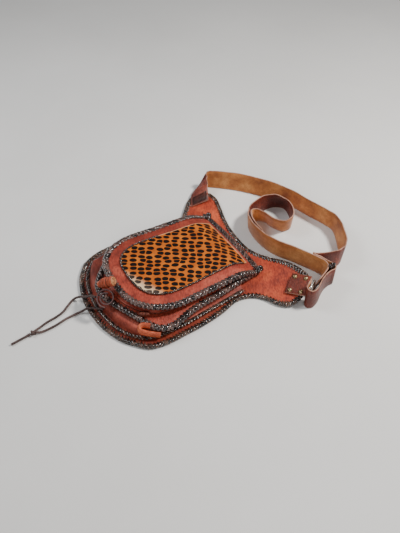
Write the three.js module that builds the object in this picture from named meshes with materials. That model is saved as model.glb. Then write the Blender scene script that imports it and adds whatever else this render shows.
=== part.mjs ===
// A leather hip bag lying on its back, with its belt straps standing on edge behind it.
// Millimetres, +Z up. The bag is drawn round its own axis of symmetry, X to the wing with
// the riveted strap and Y towards the belt, and is moved onto its middle at the end.
import * as THREE from 'three';

// Leather and lacing thicknesses
const BACK_THICK = 2.6;
const FLAP_THICK = 2.6;
const POUCH_THICK = 2.4;
const PRINT_THICK = 1.5;
const STRAP_THICK = 2.2;
const STRAP_WIDTH = 38;
const GAP = 0.35;

// Lacing folded over an edge: half slot beside the leather, reach in and out, and height
const BACK_LACING = { slot: 0.85, inward: 4.8, outward: 2.4, rise: 1.4 };
const LOWER_LACING = { slot: 0.35, inward: 5.5, outward: 3.2, rise: 2.6 };
const LACING_CAP = [[0, 1, 7, 8], [1, 2, 3, 6, 7], [3, 4, 5, 6]];
const MAIN_LACING = { slot: 0.35, inward: 6, outward: 3.4, rise: 2.7 };
// Flaps are laced up to this y, and the lacing gets thinner towards the hinge
const LACED_TO_Y = 134;
const LACING_THINS_OVER = 24;
const LACING_AT_HINGE = 0.4;
// Lacing laid flat: on the pouch's flange, and bowed across the hinge
const SEAM_LACING = { across: 0.982, from: 0.0077, to: 0.98, width: 3.2, thick: 1.8 };
const HINGE_LACING = { halfLength: 80, y: 142.3, bow: 3, width: 9.6, thick: 2.6 };

// Heights of the layers
const BACK_UNDERSIDE = 1.4;
const BACK_TOP = BACK_UNDERSIDE + BACK_THICK;
const HINGE_Y = 147;
const LOWER_RISE_AT_HINGE = 10.5;
const LOWER_RISE_ALONG = 12;
const POCKET_RISE_AT_HINGE = 11;
const POCKET_RISE_ALONG = 4;
const UNDER_FLAP = 3.7;
const SIDE_DROOP = 3.5;
const SIDE_DROOP_AT_X = 95;
const SIDE_DROOP_LIMIT = 1.6;
// How far from the hinge the layers reach their height, and where their slow rise starts
const LOWER_RISE = { hingeOver: 50, from: 110, over: 220 };
const MAIN_RISE = { hingeOver: 58, from: 100, over: 200 };

// Right wing: its belt edge is held up by the strap that stands on edge
const WING_TILT = 0.42;
const WING_TILT_FROM_Y = 134;
const WING_TILT_SOFT = 24;
const WING_TILT_FROM_X = 40;
const WING_TILT_OVER = 75;
const WING_END_LIFT = 2;
const WING_END_X = 115;
const WING_END_OVER = 45;
const WING_EASE = 0.35;
const WING_EASE_X = 145;
const WING_EASE_OVER = 30;

// Half outlines of the right side, from the axis to the corner, up the side, and along the
// top from the axis. Where the left side differs it has tables of its own, x counted outwards.
const BACK = {
  bottom: [
    { x: 0, y: -142.5 }, { x: 27, y: -140.5 }, { x: 53, y: -134.5 }, { x: 78, y: -124 }, { x: 103, y: -105 },
  ],
  side: [
    { x: 103, y: -105 }, { x: 111.8, y: -95.5 }, { x: 117, y: -81 }, { x: 120, y: -60 },
    { x: 119.8, y: -38 }, { x: 119.5, y: 0 },
    { x: 115, y: 40 }, { x: 108, y: 70 }, { x: 110, y: 88 }, { x: 119, y: 105 },
    { x: 134, y: 117 }, { x: 152, y: 126 }, { x: 164, y: 138 }, { x: 167, y: 152 },
    { x: 161, y: 174 }, { x: 148, y: 193 },
  ],
  top: [
    { x: 0, y: 157 }, { x: 29, y: 159.5 }, { x: 58, y: 172 }, { x: 87, y: 185 },
    { x: 109, y: 190.5 }, { x: 130, y: 194 }, { x: 148, y: 193 },
  ],
  leftSide: [
    { x: 103, y: -105 }, { x: 113, y: -80 }, { x: 117, y: -40 }, { x: 117, y: 0 },
    { x: 112, y: 40 }, { x: 103, y: 66 }, { x: 102, y: 82 }, { x: 111, y: 102 },
    { x: 131, y: 123 }, { x: 144, y: 137 }, { x: 152, y: 151 }, { x: 151, y: 169 }, { x: 141, y: 185 },
  ],
  leftTop: [
    { x: 0, y: 157 }, { x: 34, y: 160.5 }, { x: 64, y: 167.5 }, { x: 96, y: 178.5 },
    { x: 123, y: 186.5 }, { x: 141, y: 185 },
  ],
};
const POUCH = {
  bottom: [
    { x: 0, y: -131 }, { x: 25, y: -129 }, { x: 55, y: -122 }, { x: 80, y: -109 }, { x: 97, y: -92 },
  ],
  side: [{ x: 97, y: -92 }, { x: 104, y: -68 }, { x: 106, y: -30 }, { x: 103, y: 42 }, { x: 100, y: 96 }],
  top: [{ x: 0, y: 96 }, { x: 50, y: 96 }, { x: 100, y: 96 }],
  leftSide: [
    { x: 97, y: -92 }, { x: 103, y: -68 }, { x: 104, y: -30 }, { x: 101, y: 24 },
    { x: 94, y: 66 }, { x: 93, y: 96 },
  ],
  leftTop: [{ x: 0, y: 96 }, { x: 46, y: 96 }, { x: 93, y: 96 }],
};
const LOWER_FLAP = {
  bottom: [
    { x: 0, y: -117.5 }, { x: 18, y: -112.5 }, { x: 52, y: -98.5 }, { x: 80, y: -86 }, { x: 97, y: -76 },
  ],
  side: [
    { x: 97, y: -76 }, { x: 106, y: -63 }, { x: 107.5, y: -44 }, { x: 101, y: -20 }, { x: 96, y: 6 },
    { x: 90, y: 69 }, { x: 81, y: 130 }, { x: 78, y: HINGE_Y },
  ],
  top: [{ x: 0, y: HINGE_Y }, { x: 40, y: HINGE_Y }, { x: 78, y: HINGE_Y }],
  leftBottom: [
    { x: 0, y: -117.5 }, { x: 16, y: -118 }, { x: 31, y: -112 }, { x: 48, y: -98 }, { x: 64, y: -82 },
  ],
  leftSide: [
    { x: 64, y: -82 }, { x: 80, y: -66 }, { x: 89, y: -46 }, { x: 93, y: -20 }, { x: 93, y: 6 },
    { x: 89, y: 69 }, { x: 81, y: 130 }, { x: 78, y: HINGE_Y },
  ],
};
const POCKET = {
  bottom: [{ x: 0, y: -100 }, { x: 28, y: -98 }, { x: 50, y: -88 }, { x: 66, y: -76 }, { x: 77, y: -60 }],
  side: [{ x: 77, y: -60 }, { x: 82, y: -38 }, { x: 82, y: 0 }, { x: 79, y: 45 }, { x: 75, y: 90 }],
  top: [{ x: 0, y: 90 }, { x: 40, y: 90 }, { x: 75, y: 90 }],
  leftBottom: [
    { x: 0, y: -100 }, { x: 18, y: -100 }, { x: 34, y: -93 }, { x: 48, y: -81 }, { x: 57, y: -73 },
  ],
  leftSide: [
    { x: 57, y: -73 }, { x: 70, y: -56 }, { x: 77, y: -36 }, { x: 80, y: 0 },
    { x: 79, y: 45 }, { x: 75, y: 90 },
  ],
};
const MAIN_FLAP = {
  bottom: [{ x: 0, y: -95 }, { x: 31, y: -93 }, { x: 54, y: -84.5 }, { x: 72.5, y: -68 }, { x: 83, y: -50 }],
  side: [{ x: 83, y: -50 }, { x: 88, y: -30 }, { x: 87, y: 30 }, { x: 85, y: 90 }, { x: 82.5, y: 142 }],
  top: [{ x: 0, y: 146 }, { x: 45, y: 145 }, { x: 82.5, y: 142 }],
};
const PRINT = {
  bottom: [{ x: 0, y: -68 }, { x: 26, y: -66 }, { x: 45, y: -58 }, { x: 57, y: -44 }, { x: 63, y: -26 }],
  side: [{ x: 63, y: -26 }, { x: 64, y: 0 }, { x: 61, y: 60 }, { x: 58, y: 128 }],
  top: [{ x: 0, y: 131 }, { x: 30, y: 130 }, { x: 58, y: 128 }],
};

// How far each ring of points of a pouch lies inside its outline: flange, foot, shoulder, top
const POUCH_INSETS = [0, 7, 9.5, 14, 24];
const POUCH_LEVELS = [0, 0, 0.72, 0.96, 1];

// Belt strap, from the left wing round behind the bag, past the keeper and round the ring:
// x, y and height of its lower edge, and how far its upper edge leans off it in x and y
const BELT = [
  { x: -128, y: 133, low: 5.6, leanX: 4, leanY: 37.7 },
  { x: -142, y: 141.5, low: 6.9, leanX: 5, leanY: 37 },
  { x: -156, y: 152, low: 7, leanX: 6, leanY: 34 },
  { x: -166, y: 165, low: 4.2, leanX: 6, leanY: 26 },
  { x: -171, y: 178, low: 1.8, leanX: 5, leanY: 15 },
  { x: -170, y: 188, low: 0.8, leanX: 1.5, leanY: 10 },
  { x: -164.5, y: 197, low: 0.8, leanX: -1.5, leanY: 7 },
  { x: -142, y: 222, low: 0.8, leanX: -6, leanY: 4 },
  { x: -120, y: 243, low: 0.8, leanX: -7, leanY: 5 },
  { x: -78, y: 274, low: 0.8, leanX: -3, leanY: 6 },
  { x: -34, y: 298, low: 0.8, leanX: -1, leanY: 2 },
  { x: 9, y: 310, low: 0.8, leanX: 0, leanY: 0.5 },
  { x: 48, y: 320.5, low: 0.8, leanX: 0, leanY: 0.5 },
  { x: 66, y: 322.5, low: 0.8, leanX: 0.5, leanY: 1.5 },
  { x: 90, y: 311, low: 0.8, leanX: 3, leanY: 5.5 },
  { x: 113, y: 296, low: 0.8, leanX: 6, leanY: 6 },
  { x: 130, y: 286, low: 0.8, leanX: 2, leanY: 2 },
  { x: 138, y: 272, low: 0.8, leanX: -2, leanY: 0 },
  { x: 137.5, y: 258, low: 0.8, leanX: -5, leanY: -1 },
  { x: 131, y: 244, low: 0.8, leanX: -6, leanY: -4 },
  { x: 123, y: 234, low: 0.8, leanX: -4, leanY: -4 },
  { x: 118.2, y: 229.9, low: 0.8, leanX: -2, leanY: -2.5 },
  { x: 121.4, y: 228, low: 0.8, leanX: -0.5, leanY: -0.5 },
  { x: 131, y: 231.9, low: 0.8, leanX: 0, leanY: 0 },
  { x: 142, y: 234.7, low: 0.8, leanX: 0, leanY: 0 },
  { x: 151, y: 237.8, low: 0.8, leanX: 0, leanY: 0 },
  { x: 159, y: 239, low: 0.8, leanX: 0, leanY: 0 },
  { x: 165, y: 233.5, low: 0.8, leanX: 0, leanY: 0 },
  { x: 165, y: 225, low: 0.8, leanX: -0.5, leanY: 0 },
  { x: 168, y: 211, low: 0.8, leanX: -1, leanY: 0 },
  { x: 175, y: 197, low: 0.8, leanX: -1.5, leanY: -0.5 },
  { x: 182, y: 186, low: 0.8, leanX: -2, leanY: -1 },
  { x: 186, y: 176, low: 0.8, leanX: -3, leanY: 0 },
  { x: 186.5, y: 168, low: 0.8, leanX: -4, leanY: 1.5 },
  { x: 182.5, y: 163, low: 0.8, leanX: -5.5, leanY: 3.5 },
  { x: 177, y: 163, low: 0.8, leanX: -7, leanY: 5.5 },
  { x: 173, y: 167, low: 1.6, leanX: -8, leanY: 9.5 },
  { x: 169.5, y: 172, low: 4, leanX: -9, leanY: 13.5 },
];

// Adjusting strap, from the ring past the keeper to the curl at its free end
const ADJUSTING = [
  { x: 160, y: 195, low: 0.8, leanX: 8, leanY: 3 },
  { x: 156, y: 207, low: 0.8, leanX: 7.5, leanY: 3 },
  { x: 153, y: 218, low: 0.8, leanX: 6, leanY: 3 },
  { x: 149.5, y: 227, low: 0.8, leanX: 3, leanY: 2 },
  { x: 142, y: 230.5, low: 0.8, leanX: 0, leanY: 1 },
  { x: 131, y: 228, low: 0.8, leanX: 0, leanY: 0 },
  { x: 119, y: 223, low: 0.8, leanX: 0, leanY: 0 },
  { x: 87, y: 208.5, low: 0.8, leanX: 0, leanY: 0 },
  { x: 56, y: 192.5, low: 0.8, leanX: 0, leanY: 0 },
  { x: 23, y: 186.5, low: 0.8, leanX: 3, leanY: -1.5 },
  { x: -11, y: 190.4, low: 0.8, leanX: 5.3, leanY: -4.4 },
  { x: -29, y: 198.7, low: 0.8, leanX: 2.5, leanY: -5.7 },
  { x: -37.5, y: 216.8, low: 0.8, leanX: -5, leanY: -5.3 },
  { x: -46, y: 241, low: 0.8, leanX: -3, leanY: -0.8 },
  { x: -46, y: 266, low: 0.8, leanX: 3.5, leanY: -2.5 },
  { x: -32.5, y: 284, low: 0.8, leanX: 11, leanY: -7.2 },
  { x: -2, y: 277, low: 0.8, leanX: 8.6, leanY: -5 },
  { x: 18.5, y: 259.5, low: 0.8, leanX: 6.5, leanY: -4 },
  { x: 18, y: 244.5, low: 0.8, leanX: 8, leanY: -7.5 },
  { x: 3, y: 234.5, low: 0.8, leanX: 7, leanY: -9.5 },
  { x: -19, y: 230, low: 0.8, leanX: 5, leanY: -10 },
  { x: -30, y: 222, low: 0.8, leanX: 2.5, leanY: -9 },
  { x: -30.5, y: 209.5, low: 0.8, leanX: 1, leanY: -6 },
  { x: -17, y: 197.3, low: 0.8, leanX: 0.5, leanY: -3.3 },
  { x: 4, y: 192.5, low: 0.8, leanX: 0.5, leanY: -3.7 },
  { x: 22, y: 190.4, low: 0.8, leanX: 0, leanY: -2.2 },
];

// Riveted end of the belt on the right wing, laid on the wing's tilt
const TAB = [
  { x: 143.5, y: 147, low: 10.4, leanX: -19.5, leanY: 30.5 },
  { x: 170.7, y: 165.9, low: 16.17, leanX: -19.5, leanY: 30.5 },
];

// Rivets on the strap's riveted end: distance along it and across it from its middle line
const RIVET_RADIUS = 4.1;
const RIVET_HEIGHT = 2.8;
const RIVET_ALONG = [6, 25];
const RIVET_ACROSS = [-13, 13];

// Metal ring held in the belt's bend, and the dark keeper where the straps meet
const RING_WIRE = 1.5;
const RING_NEAR = { x: 174.3, y: 170.3 };
const RING_FAR = { x: 164.3, y: 189.3 };
const RING_LOW = 3;
const RING_HIGH = 36.5;
const KEEPER = { x: 156.6, y: 233.2, width: 5, depth: 7.4, low: 2, high: 38.5 };

// Rolled toggle at the flap's tip, its disc end raised, and the small one under the flap
const TOGGLE = { x: -3.9, y: -106.3, z: 52.1, axis: [0.606, 0.645, 0.467], length: 30, radius: 8.3 };
const TOGGLE_LOWER = { x: 70.6, y: -80.1, z: 32.9, axis: [0.62, 0.78, 0.1], length: 18, radius: 3.6 };

// Pull loop on the lower flap, a ribbon rolled one and a half turns
const CURL = {
  x: 14.7, y: -117.6, z: 40.3, normal: [0.5, -0.33, 0.8],
  outer: 16.4, inner: 8.5, turns: 1.55, width: 6, thick: 2.2,
};

// Red folded loop that sticks out from under the lower flap: x, y and z of its middle line
const RED_LOOP = [
  { x: 106.8, y: -72.8, z: 13 },
  { x: 98.5, y: -86, z: 16.5 },
  { x: 92.6, y: -94.4, z: 20 },
  { x: 88.6, y: -98, z: 23 },
  { x: 85.2, y: -96.8, z: 25.8 },
  { x: 84.6, y: -92.4, z: 27 },
  { x: 86.4, y: -88.8, z: 27 },
];
const RED_LOOP_WIDTH = 7.5;
const RED_LOOP_THICK = 2.6;

// Lace thong: two strands from the pull loop to a knot, and a tail beyond it
const THONG_WIDTH = 4;
const THONG_FLOOR = 2.3;
const KNOT = { x: -13, y: -237.5, z: 4.6, radius: 4.2 };
const THONG_UPPER = [
  [4.3, -130.9, 40.4], [-3, -133, 36.5], [-12, -135.5, 29.5], [-21, -138, 21], [-31, -142, 13],
  [-38, -147, 8], [-41, -151, 5], [-42, -156, THONG_FLOOR], [-35, -168, THONG_FLOOR],
  [-28, -179, THONG_FLOOR], [-24, -193, THONG_FLOOR], [-22, -210, THONG_FLOOR],
  [-19, -222, THONG_FLOOR], [-17, -229, THONG_FLOOR + 0.6], [-15, -233.5, THONG_FLOOR + 1.8],
];
const THONG_LOWER = [
  [12, -125, 13], [8, -128, 12], [4, -132, 11], [-1, -136, 10], [-5, -141, 9], [-8, -147, 8],
  [-10, -152, 4.6], [-12, -158, THONG_FLOOR], [-12, -166, THONG_FLOOR], [-12, -176, THONG_FLOOR],
  [-11, -186, THONG_FLOOR], [-9, -197, THONG_FLOOR], [-8, -208, THONG_FLOOR], [-8, -218, THONG_FLOOR],
  [-8.6, -226, THONG_FLOOR + 0.4], [-11, -233.5, THONG_FLOOR + 1.8],
];
const THONG_TAIL = [
  [-13.1, -241.9, THONG_FLOOR + 1.6], [-13.6, -247, THONG_FLOOR + 0.4], [-13.6, -251, THONG_FLOOR],
  [-13.2, -256, THONG_FLOOR], [-13, -260, THONG_FLOOR], [-12.6, -264, THONG_FLOOR],
  [-12.2, -268, THONG_FLOOR], [-12, -272, THONG_FLOOR], [-12, -275, THONG_FLOOR],
];

// Colours of the leathers and metals
const RED_LEATHER = { color: 0x8a3424, roughness: 0.5 };
const BRIGHT_LEATHER = { color: 0xb0492a, roughness: 0.5 };
const DARK_LACE = { color: 0x2b1d1a, roughness: 0.4 };
const HIDE = { color: 0xc8742c, roughness: 0.8 };
const TAN_LEATHER = { color: 0xa9713f, roughness: 0.75 };
const THONG_LEATHER = { color: 0x5a4038, roughness: 0.7 };
const BRASS = { color: 0x8d7645, roughness: 0.35, metalness: 1 };
const STEEL = { color: 0xb9b4a8, roughness: 0.3, metalness: 1 };

const clamp01 = (t) => Math.min(1, Math.max(0, t));
const smooth = (t) => clamp01(t) * clamp01(t) * (3 - 2 * clamp01(t));
const bag = new THREE.Group();

// Height fields. Each gives the underside of a layer over the drawing plane.
function backUnderside(x, y) {
  const past = Math.max(0, y - WING_TILT_FROM_Y);
  const ramp = (past * past) / (past + WING_TILT_SOFT);
  const spread = smooth((x - WING_TILT_FROM_X) / WING_TILT_OVER);
  const ease = 1 - WING_EASE * smooth((x - WING_EASE_X) / WING_EASE_OVER);
  const end = WING_END_LIFT * smooth((x - WING_END_X) / WING_END_OVER);
  return BACK_UNDERSIDE + WING_TILT * ramp * spread * ease + end;
}

function backTop(x, y) {
  return backUnderside(x, y) + BACK_THICK;
}

function droop(x) {
  return SIDE_DROOP * Math.min(SIDE_DROOP_LIMIT, (Math.abs(x) / SIDE_DROOP_AT_X) ** 4);
}

function lowerUnderside(x, y) {
  const hinge = smooth((HINGE_Y - y) / LOWER_RISE.hingeOver);
  const along = clamp01((LOWER_RISE.from - y) / LOWER_RISE.over);
  return backTop(x, y) + 2 * GAP + hinge * (LOWER_RISE_AT_HINGE - droop(x)) + LOWER_RISE_ALONG * along;
}

function mainUnderside(x, y) {
  const hinge = smooth((HINGE_Y - y) / MAIN_RISE.hingeOver);
  const along = clamp01((MAIN_RISE.from - y) / MAIN_RISE.over);
  const depth = GAP + POCKET_RISE_AT_HINGE * hinge + POCKET_RISE_ALONG * along;
  return lowerUnderside(x, y) + FLAP_THICK + depth;
}

// A closed body from points and faces of any number of corners, turned to face outwards
function body(points, faces) {
  const triangles = [];
  for (const face of faces) {
    for (let i = 1; i + 1 < face.length; i += 1) triangles.push(face[0], face[i], face[i + 1]);
  }
  let volume = 0;
  for (let i = 0; i < triangles.length; i += 3) {
    const [a, b, c] = [0, 1, 2].map((k) => points[triangles[i + k]]);
    volume += a.dot(b.clone().cross(c));
  }
  if (volume < 0) triangles.reverse();
  const geometry = new THREE.BufferGeometry();
  geometry.setAttribute('position', new THREE.Float32BufferAttribute(points.flatMap((p) => p.toArray()), 3));
  geometry.setIndex(triangles);
  return geometry;
}

// A body swept through rings of points, closed on itself or capped at both ends. A cap's
// faces are given as lists of places in the ring where the ring isn't convex.
function sweep(rings, closed, capFaces = [[...Array(rings[0].length).keys()]]) {
  const size = rings[0].length;
  const faces = [];
  const last = closed ? rings.length : rings.length - 1;
  for (let i = 0; i < last; i += 1) {
    const next = ((i + 1) % rings.length) * size;
    for (let k = 0; k < size; k += 1) {
      const l = (k + 1) % size;
      faces.push([i * size + k, next + k, next + l, i * size + l]);
    }
  }
  if (!closed) {
    for (const face of capFaces) {
      faces.push(face);
      faces.push(face.map((k) => (rings.length - 1) * size + k).reverse());
    }
  }
  return body(rings.flat(), faces);
}

// A wall between two grids of points with the same rows and columns
function wall(lower, upper) {
  const rows = lower.length;
  const columns = lower[0].length;
  const count = rows * columns;
  const faces = [];
  for (let j = 0; j + 1 < rows; j += 1) {
    for (let i = 0; i + 1 < columns; i += 1) {
      const a = j * columns + i;
      faces.push([count + a, count + a + 1, count + a + columns + 1, count + a + columns]);
      faces.push([a, a + columns, a + columns + 1, a + 1]);
    }
  }
  const rim = rimOf(rows, columns).map(([j, i]) => j * columns + i);
  rim.forEach((a, n) => {
    const b = rim[(n + 1) % rim.length];
    faces.push([a, b, count + b, count + a]);
  });
  return body([...lower.flat(), ...upper.flat()], faces);
}

// Row and column of every point round a grid's edge, once round from the first corner
function rimOf(rows, columns) {
  const rim = [];
  for (let i = 0; i < columns - 1; i += 1) rim.push([0, i]);
  for (let j = 0; j < rows - 1; j += 1) rim.push([j, columns - 1]);
  for (let i = columns - 1; i > 0; i -= 1) rim.push([rows - 1, i]);
  for (let j = rows - 1; j > 0; j -= 1) rim.push([j, 0]);
  return rim;
}

function curveOf(rows) {
  return new THREE.CatmullRomCurve3(rows.map((r) => new THREE.Vector3(r.x, r.y, 0)), false, 'centripetal');
}

const mix = (p, q, t) => p + (q - p) * t;

// The curves of an outline's left and right half, the left half mirrored unless it has its own
function sidesOf(outline) {
  const right = { bottom: curveOf(outline.bottom), side: curveOf(outline.side), top: curveOf(outline.top) };
  const left = {
    bottom: curveOf(outline.leftBottom ?? outline.bottom),
    side: curveOf(outline.leftSide ?? outline.side),
    top: curveOf(outline.leftTop ?? outline.top),
  };
  return { left, right };
}

// A smooth patch of points in the drawing plane that fills an outline, across from -1 to 1
function patchPoint({ left, right }, across, along) {
  const half = across < 0 ? left : right;
  const sign = Math.sign(across);
  const low = half.bottom.getPointAt(clamp01(Math.abs(across)));
  const high = half.top.getPointAt(clamp01(Math.abs(across)));
  const a = (across + 1) / 2;
  const between = (t) => {
    const p = left.side.getPointAt(clamp01(t));
    const q = right.side.getPointAt(clamp01(t));
    return [mix(-p.x, q.x, a), mix(p.y, q.y, a)];
  };
  const [sideX, sideY] = between(along);
  const [footX, footY] = between(0);
  const [headX, headY] = between(1);
  return [
    sign * mix(low.x, high.x, along) + sideX - mix(footX, headX, along),
    mix(low.y, high.y, along) + sideY - mix(footY, headY, along),
  ];
}

function patch(outline, acrossSteps, alongSteps) {
  const sides = sidesOf(outline);
  return alongSteps.map((v) => acrossSteps.map((u) => patchPoint(sides, u, v)));
}

function evenSteps(from, to, count) {
  return Array.from({ length: count + 1 }, (_, i) => from + ((to - from) * i) / count);
}

function add(name, geometry, finish) {
  const mesh = new THREE.Mesh(geometry, new THREE.MeshStandardMaterial(finish));
  mesh.name = name;
  bag.add(mesh);
  return mesh;
}

// A sheet of leather over an outline, its underside following a height field
function sheet(grid, underside, thick) {
  const lifted = ([x, y], lift) => new THREE.Vector3(x, y, underside(x, y) + lift);
  const at = (lift) => grid.map((row) => row.map((point) => lifted(point, lift)));
  return wall(at(0), at(thick));
}

// Lacing folded over a sheet's edge. The section's rows give reach out from the edge, and
// height below the sheet's underside (negative) or above its top (positive).
function edgeLacing(points, closed, underside, thick, lacing, scaleAt = () => 1) {
  const { slot, inward, outward, rise } = lacing;
  const count = points.length;
  const normals = points.map((p, i) => {
    const before = points[closed ? (i + count - 1) % count : Math.max(0, i - 1)];
    const after = points[closed ? (i + 1) % count : Math.min(count - 1, i + 1)];
    const into = new THREE.Vector2(p[0] - before[0], p[1] - before[1]).normalize();
    const out = new THREE.Vector2(after[0] - p[0], after[1] - p[1]).normalize();
    const along = into.clone().add(out).normalize();
    const miter = Math.min(1.35, 1 / Math.max(0.5, along.dot(out.lengthSq() ? out : into)));
    return [along.y * miter, -along.x * miter];
  });
  return sweep(points.map((p, i) => {
    const grow = rise * scaleAt(p[1]);
    const section = [
      [-inward, -grow * 0.8], [0.5 * outward, -grow], [outward, thick / 2],
      [0.5 * outward, thick + grow], [-inward, thick + grow * 0.8],
      [-inward, thick + slot], [GAP, thick + slot], [GAP, -slot], [-inward, -slot],
    ];
    return section.map(([reach, height]) => {
      const x = p[0] + normals[i][0] * reach;
      const y = p[1] + normals[i][1] * reach;
      return new THREE.Vector3(x, y, underside(x, y) + height);
    });
  }), closed, LACING_CAP);
}

// Row and column of every point on a flap's free edge, from one hinge end round the tip
function freeEdge(rows, columns) {
  const left = [...Array(rows).keys()].reverse().map((j) => [j, 0]);
  const tip = [...Array(columns - 2).keys()].map((i) => [0, i + 1]);
  const right = [...Array(rows).keys()].map((j) => [j, columns - 1]);
  return [...left, ...tip, ...right];
}

// A pouch: a wall standing on a flange, with a crowned front, open at the belt end
function pouch(outline, base, top) {
  const width = 2 * outline.side[0].x;
  const length = outline.top[0].y - outline.bottom[0].y;
  const nearEdge = POUCH_INSETS.map((inset) => (2 * inset) / width);
  const middle = evenSteps(nearEdge.at(-1) - 1, 1 - nearEdge.at(-1), 5).slice(1, -1);
  const across = [...nearEdge.map((u) => u - 1), ...middle, ...nearEdge.map((u) => 1 - u).reverse()];
  const tipEdge = POUCH_INSETS.map((inset) => inset / length);
  const along = [...tipEdge, ...evenSteps(tipEdge.at(-1), 1, 6).slice(1)];
  const grid = patch(outline, across, along);
  const lastColumn = across.length - 1;
  const outer = grid.map((row, j) => row.map(([x, y], i) => {
    const ring = Math.min(j, i, lastColumn - i, POUCH_LEVELS.length - 1);
    const low = base(x, y) + GAP + POUCH_THICK;
    return new THREE.Vector3(x, y, low + (top(x, y) - low) * POUCH_LEVELS[ring]);
  }));
  const inner = outer.map((row, j) => row.map((p, i) => {
    const east = outer[j][Math.min(i + 1, lastColumn)].clone().sub(outer[j][Math.max(i - 1, 0)]);
    const north = outer[Math.min(j + 1, outer.length - 1)][i].clone().sub(outer[Math.max(j - 1, 0)][i]);
    return p.clone().addScaledVector(east.cross(north).normalize(), -POUCH_THICK);
  }));
  return wall(inner, outer);
}

// A flat lacing strip laid along points, its underside on a height field
function laidLacing(points, underside, width, thick) {
  const middle = points.map((p) => new THREE.Vector3(p[0], p[1], 0));
  return sweep(middle.map((p, i) => {
    const ahead = middle[Math.min(i + 1, middle.length - 1)];
    const along = ahead.clone().sub(middle[Math.max(i - 1, 0)]).normalize();
    const side = new THREE.Vector3(along.y, -along.x, 0);
    const section = [[-0.5, 0], [0.5, 0], [0.5, 0.6], [0.25, 1], [-0.25, 1], [-0.5, 0.6]];
    return section.map(([across, up]) => {
      const at = p.clone().addScaledVector(side, across * width);
      return at.setZ(underside(at.x, at.y) + GAP + up * thick);
    });
  }), false);
}

function spaceCurve(points) {
  return new THREE.CatmullRomCurve3(points.map((p) => new THREE.Vector3(...p)), false, 'centripetal');
}

// Frames along a strap: its middle, the way along, the way up across its width, and its face
function strapFrames(rows, steps) {
  const edge = spaceCurve(rows.map((r) => [r.x, r.y, r.low]));
  const lean = rows.map((r) => new THREE.Vector3(r.leanX, r.leanY, 0));
  const frames = evenSteps(0, rows.length - 1, steps).map((t) => {
    const row = Math.min(Math.floor(t), rows.length - 2);
    const up = lean[row].clone().lerp(lean[row + 1], smooth(t - row));
    const rise = STRAP_WIDTH ** 2 - up.lengthSq();
    up.setZ(Math.sqrt(Math.max(0, rise))).normalize();
    const middle = edge.getPoint(t / (rows.length - 1)).addScaledVector(up, STRAP_WIDTH / 2);
    return { middle, up };
  });
  return frames.map(({ middle, up }, i) => {
    const before = frames[Math.max(0, i - 1)].middle;
    const along = frames[Math.min(i + 1, steps)].middle.clone().sub(before).normalize();
    return { middle, up, along, face: along.clone().cross(up).normalize() };
  });
}

function strapBody(frames) {
  return sweep(frames.map(({ middle, up, face }) => [[-1, -1], [1, -1], [1, 1], [-1, 1]].map(([a, b]) => (
    middle.clone().addScaledVector(up, (a * STRAP_WIDTH) / 2).addScaledVector(face, (b * STRAP_THICK) / 2)
  ))), false);
}

// A tube of round section through a list of points, capped at its ends
function tube(points, radius, sides, steps) {
  const path = spaceCurve(points);
  const round = evenSteps(0, 1, sides).slice(0, -1).map((t) => (
    new THREE.Vector2(radius * Math.cos(2 * Math.PI * t), radius * Math.sin(2 * Math.PI * t))
  ));
  return new THREE.ExtrudeGeometry(new THREE.Shape(round), { steps, extrudePath: path });
}

function aim(mesh, at, direction) {
  const axis = new THREE.Vector3(...direction).normalize();
  mesh.quaternion.setFromUnitVectors(new THREE.Vector3(0, 1, 0), axis);
  mesh.position.set(at.x, at.y, at.z);
}

function lathe(rows, sides) {
  return new THREE.LatheGeometry(rows.map(([radius, height]) => new THREE.Vector2(radius, height)), sides);
}

// Rows along the back, closer together where the wing tilts
const BACK_ROWS = [...evenSteps(0, 0.6, 8), ...evenSteps(0.66, 1, 9)];

function addBack() {
  const grid = patch(BACK, evenSteps(-1, 1, 16), BACK_ROWS);
  add('back_panel', sheet(grid, backUnderside, BACK_THICK), RED_LEATHER);
  const rim = rimOf(grid.length, grid[0].length).map(([j, i]) => grid[j][i]);
  add('back_edge_lacing', edgeLacing(rim, true, backUnderside, BACK_THICK, BACK_LACING), DARK_LACE);
}

function addLowerPouch() {
  const front = (x, y) => lowerUnderside(x, y) - UNDER_FLAP;
  add('lower_pouch', pouch(POUCH, backTop, front), RED_LEATHER);
  const { across, from, to, width, thick } = SEAM_LACING;
  const grid = patch(POUCH, evenSteps(-across, across, 12), evenSteps(from, to, 10));
  const seam = freeEdge(grid.length, grid[0].length).map(([j, i]) => grid[j][i]);
  const onFlange = (x, y) => backTop(x, y) + GAP + POUCH_THICK;
  add('pouch_seam_lacing', laidLacing(seam, onFlange, width, thick), DARK_LACE);
}

// Rows along a flap, closer together near its hinge where it bends
const FLAP_ROWS = [...evenSteps(0, 0.7, 8), ...evenSteps(0.75, 1, 7)];

function nearHinge(y) {
  return mix(LACING_AT_HINGE, 1, smooth((LACED_TO_Y - y) / LACING_THINS_OVER));
}

function addLowerFlap() {
  const grid = patch(LOWER_FLAP, evenSteps(-1, 1, 14), FLAP_ROWS);
  add('lower_flap', sheet(grid, lowerUnderside, FLAP_THICK), RED_LEATHER);
  const laced = grid.filter((row) => row[0][1] < LACED_TO_Y);
  const edge = freeEdge(laced.length, laced[0].length).map(([j, i]) => laced[j][i]);
  const lacing = edgeLacing(edge, false, lowerUnderside, FLAP_THICK, LOWER_LACING, nearHinge);
  add('lower_flap_lacing', lacing, DARK_LACE);
}

function addUpperPocket() {
  const base = (x, y) => lowerUnderside(x, y) + FLAP_THICK;
  const front = (x, y) => mainUnderside(x, y) - UNDER_FLAP;
  add('upper_pocket', pouch(POCKET, base, front), RED_LEATHER);
}

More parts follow.
